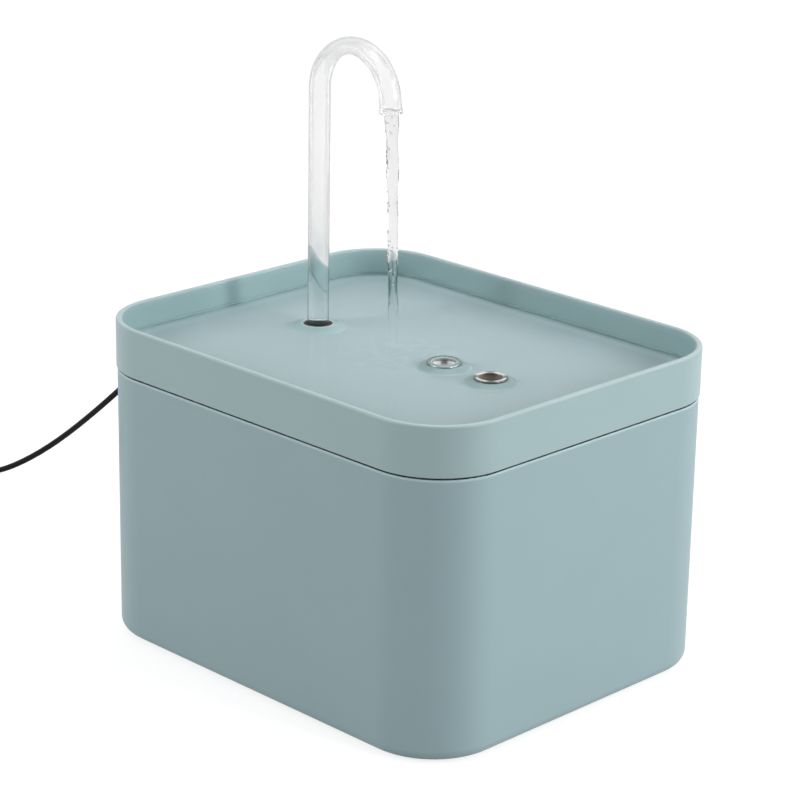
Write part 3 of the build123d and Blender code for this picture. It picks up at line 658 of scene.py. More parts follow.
def buildSpout():
    stations, along = spoutStations()
    sides, r, wall, lip = spout["sides"], spout["radius"], spout["wall"], spout["lip"]
    outer, inner = [], []
    tip, tipOut, _ = stations[-1]
    for centre, out, flat in stations:
        roll = lip * softStep((1 - (tip - centre).length / spout["lipLength"]) * 1.6)
        a, b = r - spout["flattened"] * flat + roll, r + spout["widened"] * flat + roll
        outer.append(ringAt(centre, out, a, b, sides))
        inner.append(ringAt(centre, out, a - wall - roll * 0.4, b - wall - roll * 0.4, sides))
    mouth = r + lip - wall / 2 - lip * 0.3
    nose = []
    for ahead, wider in ((0.22 * mm, wall * 0.33), (0.32 * mm, 0.0), (0.22 * mm, -wall * 0.33)):
        nose.append(ringAt(tip + along * ahead, tipOut, mouth + wider, mouth + wider, sides))
    heel = ringAt(stations[0][0], stations[0][1], r - wall / 2, r - wall / 2, sides)
    points, faces = skin(outer + nose + inner[::-1] + [heel], around=True)
    return addMesh("spoutClear", points, faces), stations, along


spoutClear, spoutLine, spoutAim = buildSpout()
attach(spoutClear, "spout")
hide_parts("spout_tube")
dress("clearTube", clearPiece, spoutFinish, spoutClear)

# Water: it fills the spout, falls as one wavering stream and lies as a film on the tray
water = {
    "film": 0.4 * mm, "floor": 111.1 * mm, "landing": (-6.9 * mm, 0.0), "streamTop": 2.35 * mm,
    "streamEnd": 1.62 * mm, "linkLength": 21 * mm, "linkDepth": 0.17,
    "twist": 38.0,  # degrees that the links turn over each link
    "ruffle": 0.09, "ruffleScales": (900, 900, 210),
    "sway": 0.12 * mm, "swayFrom": 20 * mm, "swayLengths": (17 * mm, 13 * mm),
    "straight": 6 * mm,  # it leaves along the tube's end for this far
    "drift": 0.031,  # and then goes forward this much as it falls
    "gap": 0.25 * mm, "neck": 14 * mm, "foot": 2.2 * mm, "flare": 0.35 * mm, "steps": 190, "sides": 36,
}
fallingFinish = {
    "bands": [(0.0, 0.96), (1.0, 0.12), (0.25, 0.93), (0.45, 0.85), (0.7, 0.5)],
    "streaks": 0.4, "streakSize": 0.8 * mm, "passes": (0.93, 0.94, 0.945), "ior": 1.333, "rough": 0.0,
    "smudge": 0.0, "smudgeSize": 10 * mm, "waveSize": 2.2 * mm, "waveDepth": 0.05 * mm,
}
streamFinish = {
    **fallingFinish,
    "froth": (146.5 * mm, 4 * mm, 0.35),  # height, reach and roughness of the broken patch
    "strokes": (127 * mm, 134 * mm, 142.5 * mm, 145.5 * mm),  # heights where its edges show dark
    "strokeColour": (0.05, 0.15, 0.15),
    "thinsFrom": (134 * mm, 122 * mm),  # from here down it clears
    "thinnest": 0.97, "thinEdge": 1.0,
}
standingFinish = {
    **fallingFinish,
    "bands": [(0.0, 0.99), (1.0, 0.95)],
    "streaks": 0.2, "passes": (0.95, 0.955, 0.96),
    "ior": 1.07,  # the sheet is thin, so it mirrors less than deep water
    "rough": 0.14, "smudge": 0.04, "waveSize": 6 * mm, "waveDepth": 0.02 * mm,
}
heldFinish = {**spoutFinish, "ior": 1.333, "bands": [(0.0, 1.0), (1.0, 0.93)], "passes": (0.8, 0.81, 0.81)}


def buildCore():
    rings = []
    bore = spout["radius"] - spout["wall"] + 0.03 * mm
    for centre, out, flat in spoutLine[:-1]:
        a, b = bore - spout["flattened"] * flat, bore + spout["widened"] * flat
        rings.append(ringAt(centre, out, a, b, water["sides"]))
    return addMesh("waterCore", *skin(rings))


waterCore = buildCore()
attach(waterCore, "spout")
dress("heldWater", clearPiece, heldFinish, waterCore)
streamStart = spoutLine[-3][0]


# Middle of the stream this far down
def streamPlace(fall):
    straight, (lengthX, lengthY) = water["straight"], water["swayLengths"]
    forward = spoutAim.x * min(fall, straight) + water["drift"] * max(fall - straight, 0)
    swing = water["sway"] * softStep(fall / water["swayFrom"])
    x = streamStart.x + forward + swing * sin(fall / lengthX)
    return Vector((x, swing * sin(fall / lengthY + 1.0), streamStart.z - fall))


# It thins as it speeds up
def streamRadius(share):
    return water["streamTop"] + (water["streamEnd"] - water["streamTop"]) * share ** 0.6


def buildStream():
    rings = []
    bore = spout["radius"] - spout["wall"] - water["gap"]
    drop = streamStart.z - (water["floor"] + water["film"] * 0.5)
    for k in range(water["steps"] + 1):
        fall = drop * k / water["steps"]
        centre = streamPlace(fall)
        neck = softStep(fall / water["neck"])
        foot = softStep(1 - (drop - fall) / water["foot"])
        size = bore * (1 - neck) + streamRadius(fall / drop) * neck + water["flare"] * foot * foot
        links = 2 * pi * fall / water["linkLength"]
        depth = water["linkDepth"] * neck * (1 - 0.45 * fall / drop) * (1 - foot)
        a, b = size * (1 + depth * cos(links)), size * (1 - depth * cos(links))
        turn = radians(water["twist"]) * fall / water["linkLength"]
        ring = []
        for s in range(water["sides"]):
            angle = 2 * pi * s / water["sides"]
            x, y = a * cos(angle), b * sin(angle)
            x, y = x * cos(turn) - y * sin(turn), x * sin(turn) + y * cos(turn)
            seen = Vector([along * scale for along, scale in zip((x, y, fall), water["ruffleScales"])])
            rough = noise.noise(seen) + 0.5 * noise.noise(seen * 2.3)
            swell = 1 + water["ruffle"] * rough * neck * (1 - foot)
            ring.append((centre.x + x * swell, centre.y + y * swell, centre.z))
        rings.append(np.array(ring))
    return addMesh("waterStream", *skin(rings))


waterStream = buildStream()
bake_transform(waterStream)
dress("streamWater", clearPiece, streamFinish, waterStream)

# Beads of air and water that ride on the stream, in a few loose clusters
beads = {
    "count": 70, "smallest": 0.16 * mm, "largest": 0.46 * mm, "top": 1 * mm, "bottom": 4 * mm,
    "side": (radians(222), 0.8),  # their middle direction round the stream, and its spread
    "depth": (0.82, 1.02), "stretch": (1.0, 1.7),
    "clusters": [  # share of the fall, and spread in mm
        (0.06, 4), (0.16, 3), (0.20, 3), (0.40, 4), (0.56, 5), (0.66, 6),
    ],
}
beadFinish = {**fallingFinish, "bands": [(0.0, 0.92), (1.0, 0.01), (0.3, 0.7), (0.6, 0.12)], "streaks": 0.0}


def buildBeads():
    chance = random.Random(21)
    work = bmesh.new()
    drop = streamStart.z - water["floor"]
    for k in range(beads["count"]):
        share, spreadMm = chance.choice(beads["clusters"])
        fall = drop * share + chance.gauss(0, 0.6) * spreadMm * mm
        fall = min(max(fall, beads["top"]), drop - beads["bottom"])
        angle = chance.gauss(*beads["side"])
        far = streamRadius(fall / drop) * chance.uniform(*beads["depth"])
        size = beads["smallest"] + (beads["largest"] - beads["smallest"]) * chance.random() ** 2
        where = Matrix.Translation(streamPlace(fall) + Vector((*polar(far, angle), 0)))
        stretch = Matrix.Diagonal((1, 1, chance.uniform(*beads["stretch"]), 1))
        bmesh.ops.create_icosphere(work, subdivisions=2, radius=size, matrix=where @ stretch)
    return addPiece("streamBeads", work)


streamBeads = buildBeads()
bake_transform(streamBeads)
dress("beadWater", clearPiece, beadFinish, streamBeads)

# Film on the tray: a shallow pool that wets the mounds, with rings running out from the landing stream
film = {
    "halfLength": 87.55 * mm, "halfWidth": 72.30 * mm, "corner": 25.05 * mm, "coat": 0.12 * mm,
    "meniscus": 0.04 * mm, "meniscusReach": 0.9 * mm, "ringHeight": 0.05 * mm, "ringLength": 4.8 * mm,
    "ringReach": 14 * mm, "swell": 0.035 * mm, "swellReach": 45 * mm,
    "holes": [  # middle, edge of the film, and where the mound starts to fall away
        {"x": -46.0 * mm, "edge": 5.40 * mm, "top": 6.02 * mm, "foot": 11.0 * mm, "ring": False},
        {"x": 19.3 * mm, "edge": 1.7 * mm, "top": 6.8 * mm, "foot": 10.0 * mm, "ring": True},
        {"x": 42.0 * mm, "edge": 6.12 * mm, "top": 6.8 * mm, "foot": 10.0 * mm, "ring": False},
    ],
    "mound": 1.6 * mm, "lip": 0.5 * mm,
    "flange": {"rise": 0.8 * mm, "radius": 6.1 * mm, "bore": 4.4 * mm, "round": 0.5 * mm},
    "mouth": 4.65 * mm,  # from here in, the water dips down the near drain
    "funnel": 3.4 * mm, "funnelWall": 0.5 * mm, "around": 176,
    "pour": {"rise": 0.35 * mm, "reach": 0.8 * mm, "from": 5.2 * mm, "over": 0.9 * mm},  # into that drain
    "brink": {"rise": 0.30 * mm, "reach": 0.5 * mm},  # round the drain that stays dry
    "sunk": 0.1 * mm, "thinnest": 0.08 * mm,
}


def funnelDip(r):
    return film["funnel"] * max((film["mouth"] - r) / (2.95 * mm), 0.0) ** 1.6


# Distance in from the film's rounded outline
def insideRim(x, y):
    qx = abs(x) - (film["halfLength"] - film["corner"])
    qy = abs(y) - (film["halfWidth"] - film["corner"])
    return film["corner"] - hypot(max(qx, 0), max(qy, 0)) - min(max(qx, qy), 0)


# A point this far from the landing stream
def fromLanding(far, angle):
    return polar(far, angle, *water["landing"])


# Distance from the landing stream to the outline, by halving
def filmEdge(angle):
    low, high = 0.0, 0.2
    for _ in range(40):
        far = (low + high) / 2
        low, high = (far, high) if insideRim(*fromLanding(far, angle)) > 0 else (low, far)
    return low


# How far a rounded edge has dropped, this far past the start of its rounding
def roundedDrop(size, over):
    return size - sqrt(max(size ** 2 - over ** 2, 0)) if over > 0 else 0.0


# The tray's own surface under the water
def ground(x, y):
    z, flange = water["floor"], film["flange"]
    for hole in film["holes"]:
        r = hypot(x - hole["x"], y)
        if r >= hole["foot"]:
            continue
        rise = (hole["foot"] - r) / (hole["foot"] - hole["top"])
        z += film["mound"] * (softStep(rise) * 0.35 + min(rise, 1.0) * 0.65)
        if hole["x"] < 0:
            z -= roundedDrop(film["lip"], hole["edge"] + film["lip"] - r)
        if hole["ring"] and r < flange["radius"]:
            z += flange["rise"] - roundedDrop(flange["round"], r - (flange["radius"] - flange["round"]))
            if r < film["mouth"]:
                wall = softStep((flange["bore"] + 0.2 * mm - r) / (0.7 * mm))
                z -= funnelDip(r) + film["funnelWall"] * wall
    return z


def surface(x, y):
    x0, y0 = water["landing"]
    far = hypot(x - x0, y - y0)
    drift = noise.noise(Vector((x * 60, y * 60, 1.7)))
    ring = film["ringHeight"] * exp(-far / film["ringReach"])
    wave = cos(2 * pi * far / film["ringLength"] + 2.0 * drift)
    level = water["floor"] + water["film"] + ring * wave
    level += film["swell"] * noise.noise(Vector((x * 130, y * 130, 4.2))) * exp(-far / film["swellReach"])
    level += film["meniscus"] * exp(-max(insideRim(x, y), 0) / film["meniscusReach"])
    coated, pour, brink = ground(x, y) + film["coat"], film["pour"], film["brink"]
    for hole in film["holes"]:
        r = hypot(x - hole["x"], y)
        if hole["ring"]:  # water pours over this one
            climb = exp(-max(r - film["flange"]["radius"], 0) / pour["reach"])
            coated += pour["rise"] * climb * softStep((r - pour["from"]) / pour["over"])
            if r < film["mouth"]:
                coated = water["floor"] + film["mound"] + film["flange"]["rise"] + film["coat"] - funnelDip(r)
        elif hole["x"] > 0:
            coated += brink["rise"] * exp(-max(r - hole["edge"], 0) / brink["reach"])
    soft = 0.2 * mm
    mix = softStep(0.5 + (coated - level) / (2 * soft) * 0.5)
    return level * (1 - mix) + coated * mix + soft * 0.3 * mix * (1 - mix)


# Points of the film seen from above, closest together round the holes and the landing stream
def filmPoints():
    flat, edges, around = [water["landing"]], [], film["around"]
    angles = [2 * pi * k / around for k in range(around)]
    reaches = [filmEdge(angle) for angle in angles]

    def addLoop(points):
        first = len(flat)
        flat.extend(points)
        edges.extend((first + k, first + (k + 1) % len(points)) for k in range(len(points)))

    def ringRound(x, r, count, half=0.0):
        return [polar(r, 2 * pi * (k + half) / count, x) for k in range(count)]

    addLoop([fromLanding(reach, angle) for reach, angle in zip(reaches, angles)])
    for hole in film["holes"]:
        addLoop(ringRound(hole["x"], hole["edge"], 64))
        r, row = hole["edge"] + 0.2 * mm, 0
        while r < hole["foot"] + 1.2 * mm:
            count = 40 if r < 3 * mm else 64 if r < 8 * mm else 48
            flat.extend(ringRound(hole["x"], r, count, 0.5 * (row % 2 == 0)))
            r += 0.2 * mm if r < film["flange"]["radius"] + 0.5 * mm else 0.5 * mm
            row += 1
    far, row = 0.5 * mm, 0
    while far < 0.17:
        count = min(around, max(10, int(2 * pi * far / (0.9 * mm))))
        for k in range(count):
            x, y = fromLanding(far, 2 * pi * (k + 0.5 * (row % 2)) / count)
            clear = all(hypot(x - h["x"], y) > h["foot"] + 1.5 * mm for h in film["holes"])
            if clear and insideRim(x, y) > 3.2 * mm:
                flat.append((x, y))
        far += 0.65 * mm if far < 32 * mm else 2.4 * mm
        row += 1
    for inset in (0.3 * mm, 0.7 * mm, 1.3 * mm, 2.2 * mm):
        flat.extend(fromLanding(reach - inset, angle) for reach, angle in zip(reaches, angles))
    return flat, edges


def buildFilm():
    flat, edges = filmPoints()
    spots, _, triangles, _, _, _ = delaunay_2d_cdt([Vector(p) for p in flat], edges, [], 0, 1e-7)
    kept = []
    for triangle in triangles:
        x, y = (sum(spots[i][a] for i in triangle) / 3 for a in (0, 1))
        inHole = any(hypot(x - h["x"], y) < h["edge"] * 0.999 for h in film["holes"])
        if not inHole and insideRim(x, y) > 0:
            kept.append(tuple(triangle))
    points = [(x, y, surface(x, y)) for x, y in spots]
    # the underside sits just inside the plastic, so that the film is a closed body
    under = [(x, y, min(ground(x, y) - film["sunk"], z - film["thinnest"])) for x, y, z in points]
    count = len(points)
    rim = {(a, b): 1 for t in kept for a, b in zip(t, t[1:] + t[:1])}
    sides = [(b, a, a + count, b + count) for a, b in rim if (b, a) not in rim]
    below = [tuple(count + i for i in reversed(t)) for t in kept]
    return addMesh("waterFilm", points + under, kept + below + sides)


waterFilm = buildFilm()
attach(waterFilm, "tray")
dress("standingWater", clearPiece, standingFinish, waterFilm)
print("spout and water made")

# Drain rings: turned and polished steel
ringLook = {
    "axis": (42.0 * mm, 0.0), "colour": (0.72, 0.73, 0.72), "shade": (0.56, 0.57, 0.56), "rough": 0.12,
    "pitch": 0.16 * mm, "depth": 0.012 * mm, "bore": 4.5 * mm, "stain": (0.58, 0.54, 0.47),
    # painted shade round the flange's outer edge; on the wet ring it also gives the flange and the bore above
    # the water line the water's tone
    "outline": 5.75 * mm, "grime": (0.10, 0.11, 0.11),
    "lobe": (0.07, 0.10, 0.10),  # the lathe's grain throws light in lobes, with darker ones between
    "lobes": 4.0, "lobeShare": 0.95, "turned": 45.0,
    "limed": 0.6,  # how far the bore has dulled to lime
    "spotAt": 135.0,  # painted shadow on this side of the bore, just under the lip
    "spotShare": 0.9, "spotEdge": (0.72, 0.95), "spotFrom": (111.6 * mm, 112.6 * mm),
}
wetRingLook = {  # water runs over it, and hides all but the lower part of its bore, which is painted white as a painted highlight
    **ringLook, "axis": (19.3 * mm, 0.0), "bore": 4.6 * mm, "stain": (1.0, 1.0, 0.99),
    "outline": 4.65 * mm, "grime": (0.29, 0.355, 0.355), "lobeShare": 0.2, "limed": 0.92,
    "spotShare": 0.75, "spotEdge": (0.94, 0.99), "spotFrom": (111.0 * mm, 111.5 * mm),
    "veil": (112.25 * mm, 112.6 * mm),
}


def turnedSteel(tree, look):
    x0, y0 = look["axis"]
    lathe = place(tree, turning, X=x0, Y=y0, Pitch=look["pitch"])
    marks = place(tree, waterMarks, Size=1.5 * mm)
    x, y, z = axes(tree)
    dx, dy = x - x0, y - y0
    far, angle = distance(dx, dy), maths("ARCTAN2", dy, dx)
    bore, outline = look["bore"], look["outline"]
    inBore = spread(far, 1, 0, bore - 0.15 * mm, bore)
    lobe = maths("COSINE", (angle + radians(look["turned"])) * look["lobes"])
    side = maths("COSINE", angle - radians(look["spotAt"]))
    spot = spread(side, 0, look["spotShare"], *look["spotEdge"]) * spread(z, 0, 1, *look["spotFrom"])
    layers = [
        (lathe["Streak"], look["shade"]),
        (spread(lobe, 0, look["lobeShare"], 0.0, 0.9), look["lobe"]),
        # stain in the bore; on the wet ring this is white, a painted highlight
        (spread(far, 1, 0, bore, bore + 0.1 * mm), look["stain"]),
        # painted shade round the flange's outer edge
        (spread(far, 0, 1, outline, outline + 0.15 * mm), look["grime"]),
        # painted shadow in the bore, just under the lip
        (spot * inBore, (0.02, 0.02, 0.02)),
    ]
    if "veil" in look:  # above this the bore is painted in the water's tone, with a painted shade line where it starts
        low, high = look["veil"]
        layers.append((spread(z, 0, 0.8, low, low + 0.15 * mm) * inBore, look["lobe"]))
        layers.append((spread(z, 0, 1, high, high + 0.2 * mm) * inBore, look["grime"]))
    return {
        "Base Color": layered(look["colour"], *layers),
        "Metallic": 1.0 - inBore * look["limed"],
        "Roughness": lathe["Groove"] * 0.08 + look["rough"] + marks["Bloom"] * 0.08,
        "Normal": relief(lathe["Groove"], look["depth"]),
    }


dress("farRingSteel", turnedSteel, ringLook, "drain_ring_far")
dress("nearRingSteel", turnedSteel, wetRingLook, "drain_ring_near")

# Black rubber round the spout and at the cable's way out
sealLook = {
    "colour": (0.018, 0.019, 0.02), "shade": (0.026, 0.027, 0.028), "rubColour": (0.09, 0.09, 0.09),
    "rough": 0.5, "grain": 0.25 * mm, "depth": 0.012 * mm, "dust": 0.0, "rubbed": 0.1, "specular": 0.2,
}
dress("sealRubber", rubber, sealLook, "spout_seal")
dress("grommetRubber", rubber, {**sealLook, "rough": 0.6, "dust": 0.25}, "cable_grommet")

# Feet, suction cups and shaft bushes
footLook = {
    "colour": (0.10, 0.105, 0.11), "shade": (0.075, 0.078, 0.08), "rubColour": (0.2, 0.2, 0.2),
    "rough": 0.7, "grain": 0.4 * mm, "depth": 0.02 * mm, "dust": 0.3, "rubbed": 0.3,
}
dress("footRubber", rubber, footLook, "foot_pads")
cupLook = {
    **footLook, "colour": (0.045, 0.045, 0.047), "shade": (0.03, 0.03, 0.032), "rough": 0.4, "dust": 0.05,
}
dress("cupRubber", rubber, cupLook, "pump_suction_cups")
for bushName in ("shaft_bush_front", "shaft_bush_rear"):
    dress(bushName + "Rubber", rubber, {**cupLook, "rough": 0.55}, bushName)

# Riser hose: milky silicone that light soaks into
hoseLook = {
    "colour": (0.78, 0.79, 0.78), "shade": (0.70, 0.72, 0.71), "rubColour": (0.85, 0.86, 0.85),
    "rough": 0.38, "grain": 0.5 * mm, "depth": 0.01 * mm, "dust": 0.1, "rubbed": 0.2,
}


def siliconeHose(tree, look):
    return {**rubber(tree, look), "Subsurface Weight": 0.35, "Subsurface Scale": 2 * mm}


dress("hoseSilicone", siliconeHose, hoseLook, "riser_hose")

# Pump: dark engineering plastic with a crisp moulded grain
pumpLook = {
    "colour": (0.022, 0.024, 0.027), "shade": (0.03, 0.032, 0.036), "mottled": 1.0, "rough": 0.46,
    "grain": 0.3 * mm, "mottle": 9 * mm, "depth": 0.02 * mm, "edge": 0.35 * mm, "rubbed": 0.35,
    "rubColour": (0.12, 0.12, 0.125), "dust": 0.05, "marks": 0.12, "markSize": 3 * mm,
}
dress("housingPlastic", mouldedPlastic, pumpLook, "pump_housing")
for coverName in ("intake_cover", "impeller_cover"):
    dress(coverName + "Plastic", mouldedPlastic, {**pumpLook, "rough": 0.4, "grain": 0.22 * mm}, coverName)
sliderLook = {**pumpLook, "colour": (0.05, 0.054, 0.06), "shade": (0.06, 0.064, 0.07), "rubbed": 0.6}
dress("sliderPlastic", mouldedPlastic, sliderLook, "flow_slider")
dress("glandPlastic", mouldedPlastic, {**pumpLook, "rough": 0.55}, "pump_cable_gland")

# White moulded pieces: impeller, filter case and its grille
whiteLook = {
    "colour": (0.76, 0.77, 0.77), "shade": (0.71, 0.72, 0.715), "mottled": 1.0, "rough": 0.38,
    "grain": 0.25 * mm, "mottle": 12 * mm, "depth": 0.008 * mm, "edge": 0.3 * mm, "rubbed": 0.2,
    "rubColour": (0.82, 0.82, 0.81), "dust": 0.03, "marks": 0.1, "markSize": 3 * mm,
}
dress("impellerPlastic", mouldedPlastic, {**whiteLook, "rough": 0.3}, "impeller")
dress("casePlastic", mouldedPlastic, whiteLook, "filter_case")
dress("grillePlastic", mouldedPlastic, {**whiteLook, "colour": (0.70, 0.72, 0.73)}, "filter_grille")

# Ceramic shaft and ferrite magnet
shaftLook = {
    "colour": (0.80, 0.79, 0.75), "shade": (0.73, 0.72, 0.68), "rough": 0.16,
    "grain": 0.15 * mm, "depth": 0.004 * mm,
}
magnetLook = {
    "colour": (0.045, 0.043, 0.042), "shade": (0.065, 0.062, 0.06), "rough": 0.5,
    "grain": 0.2 * mm, "depth": 0.02 * mm,
}


def sintered(tree, look):
    grain = place(tree, mouldGrain, Grain=look["grain"], Mottle=3 * mm)
    lines = place(tree, hairlines, Width=0.1 * mm, Stretch=1.0)
    return {
        "Base Color": layered(look["colour"], (grain["Mottle"], look["shade"])),
        "Roughness": spread(lines["Patch"], look["rough"], look["rough"] + 0.1),
        "Normal": relief(grain["Height"], look["depth"]),
    }


dress("shaftCeramic", sintered, shaftLook, "rotor_shaft")
dress("magnetFerrite", sintered, magnetLook, "rotor_magnet")

# Stator: stacked steel sheets seen on edge
coreLook = {"steel": (0.42, 0.42, 0.43), "gap": (0.12, 0.11, 0.10), "sheet": 0.5 * mm, "rough": 0.38}


def stackedSteel(tree, look):
    x, y, z = axes(tree)
    phase = maths("FRACT", y / look["sheet"])
    gap = maths("LESS_THAN", phase, 0.18)
    lines = place(tree, hairlines, Width=0.2 * mm, Stretch=4.0)
    return {
        "Base Color": layered(
            look["steel"], (lines["Patch"], tuple(0.8 * c for c in look["steel"])), (gap, look["gap"])
        ),
        "Metallic": 1.0,
        "Roughness": spread(gap, look["rough"], 0.7),
        "Normal": relief(phase, 0.03 * mm),
    }


dress("coreSteel", stackedSteel, coreLook, "stator_core")

# Windings: enamelled copper, laid turn by turn round the rotor's axis
windingLook = {
    "copper": (0.72, 0.30, 0.13), "dark": (0.34, 0.11, 0.05), "wire": 0.35 * mm, "rough": 0.24,
    "axis": (-46.0 * mm, 23.6 * mm),
}


def woundWire(tree, look):
    x, y, z = axes(tree)
    far = distance(x - look["axis"][0], z - look["axis"][1])
    wobble = noiseAt(objectPlace(tree), 1.2 * mm)
    wires = maths("ABSOLUTE", maths("SINE", ((far + y) / look["wire"] + wobble) * pi))
    return {
        # painted shade in the grooves between the turns
        "Base Color": layered(look["dark"], (wires, look["copper"])),
        "Metallic": 1.0,
        "Coat Weight": 0.6,
        "Roughness": spread(wobble, look["rough"], look["rough"] + 0.15),
        "Normal": relief(wires, 0.12 * mm),
    }


dress("windingCopper", woundWire, windingLook, "stator_windings")

# Driver board: solder mask over woven glass, with traces showing through
boardLook = {
    "mask": (0.012, 0.10, 0.045), "trace": (0.03, 0.19, 0.085), "pad": (0.62, 0.6, 0.55), "pitch": 1.9 * mm,
}


def driverBoard(tree, look):
    where = objectPlace(tree)
    blocks = put(tree, "TexBrick", {"Vector": where, "Scale": 1 / (4 * look["pitch"])}, out=1)
    weave = put(tree, "TexChecker", {"Vector": where, "Scale": 1600.0}, out=1)
    tracks = cellsAt(where, look["pitch"], distance="MANHATTAN")
    trace, pad = spread(tracks, 1, 0, 0.45, 0.5), spread(tracks, 1, 0, 0.16, 0.19)
    shares = ((trace, 0.8), (weave, 0.15), (blocks, 0.2))
    return {
        "Base Color": layered(
            look["mask"], *((mask * share, look["trace"]) for mask, share in shares), (pad, look["pad"])
        ),
        "Metallic": pad,
        "Roughness": spread(trace, 0.35, 0.25),
        "Normal": relief(trace + pad * 0.5, 0.03 * mm),
    }


dress("boardLaminate", driverBoard, boardLook, "driver_board")

# Potting: black epoxy, glossy, with a few pin bubbles
pottingLook = {
    "colour": (0.012, 0.012, 0.013), "haze": (0.03, 0.03, 0.033), "rough": 0.12, "bubble": 1.6 * mm,
}


def pouredResin(tree, look):
    pit = spread(cellsAt(objectPlace(tree), look["bubble"]), 1, 0, 0.08, 0.16)
    haze = noiseAt(objectPlace(tree), 6 * mm, 3.0)
    return {
        "Base Color": layered(look["colour"], (haze, look["haze"])),
        "Roughness": spread(haze, look["rough"], look["rough"] + 0.12, 0.35, 0.65),
        "Normal": relief(haze - pit, 0.06 * mm),
    }


dress("pottingEpoxy", pouredResin, pottingLook, "potting_resin")
print("pump finished")

# Carbon: crushed grains pressed in a block
carbonLook = {"grain": 1.1 * mm, "colour": (0.012, 0.012, 0.013), "bright": (0.05, 0.05, 0.053)}


# A random shade for each cell of this size
def cellShade(tree, size):
    return put(tree, "SeparateColor", {0: cellsAt(objectPlace(tree), size, "Color")})


def crushedCarbon(tree, look):
    shade = cellShade(tree, look["grain"])
    return {
        "Base Color": layered(look["colour"], (shade, look["bright"])),
        "Roughness": spread(shade, 0.35, 0.75),
        "Normal": relief(spread(cellsAt(objectPlace(tree), look["grain"]), 1, 0, 0, 0.7), 0.4 * mm),
    }


dress("carbonGrains", crushedCarbon, carbonLook, "filter_carbon")

# Resin: a bed of small amber beads over a packed core
resinLook = {
    "bead": 2.1 * mm, "core": 1.1 * mm, "corner": 3 * mm,
    "colour": (0.62, 0.30, 0.07), "dark": (0.36, 0.14, 0.03), "rough": 0.14,
}


def buildResin():
    low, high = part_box("filter_resin")
    size, middle = high - low, (low + high) / 2
    bead, corner, work, chance = resinLook["bead"], resinLook["corner"], bmesh.new(), random.Random(5)
    rows = int((size.y - bead) / (bead * 0.866)) + 1
    for row in range(rows):
        rowY, odd = low.y + bead / 2 + row * (size.y - bead) / (rows - 1), row % 2
        for k in range(int((size.x - bead * (1.5 if odd else 1)) / bead) + 1):
            x, y = low.x + bead / 2 + (bead / 2 if odd else 0) + k * bead, rowY
            cx, cy = min(x - low.x, high.x - x), min(y - low.y, high.y - y)
            if cx < corner and cy < corner and hypot(corner - cx, corner - cy) > 0.8 * corner:
                continue
            r = bead / 2 * chance.uniform(0.86, 0.99)
            z = low.z + r + chance.uniform(0, 0.12) * bead
            shift = (bead / 2 - r) * 0.8
            x, y = x + chance.uniform(-shift, shift), y + chance.uniform(-shift, shift)
            spot = Matrix.Translation((x, y, z))
            bmesh.ops.create_icosphere(work, subdivisions=1, radius=r, matrix=spot)
    bottom = resinLook["core"]
    core = Matrix.Translation((middle.x, middle.y, middle.z + bottom / 2))
    core = core @ Matrix.Diagonal((size.x - 1 * mm, size.y - 1 * mm, size.z - bottom, 1))
    made = bmesh.ops.create_cube(work, size=1.0, matrix=core)
    edges = {e for v in made["verts"] for e in v.link_edges}
    upright = [e for e in edges if abs(e.verts[0].co.z - e.verts[1].co.z) > mm]
    bmesh.ops.bevel(work, geom=upright, offset=2 * mm, segments=5, affect="EDGES")
    return addPiece("resinBed", work)


def amberBeads(tree, look):
    cloud = noiseAt(objectPlace(tree), 0.8 * mm)
    return {
        "Base Color": layered(look["colour"], (cellShade(tree, look["bead"]) * cloud, look["dark"])),
        "Roughness": spread(cloud, look["rough"], look["rough"] + 0.2),
        "Subsurface Weight": 0.3,
        "Subsurface Scale": 1 * mm,
        "Normal": relief(cloud, 0.02 * mm),
    }


resinBed = buildResin()
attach(resinBed, "filter")
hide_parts("filter_resin")
dress("resinAmber", amberBeads, resinLook, resinBed)

# Cotton: a needled pad, crowned between the grille's bars, with a soft uneven face
cottonLook = {
    "colour": (0.80, 0.80, 0.78), "shade": (0.66, 0.66, 0.63),
    "cuts": 39, "corner": 3 * mm, "slack": 0.55 * mm, "softEdge": 0.9 * mm, "softReach": 0.7 * mm,
    "pulledIn": 0.35 * mm, "pullReach": 0.5 * mm, "tufts": 420, "sideTufts": (500, 900),
}


# Uneven from 0 to 1 over the pad
def tufted(x, y, z):
    return 0.5 + 0.5 * noise.noise(Vector((x, y, z)))


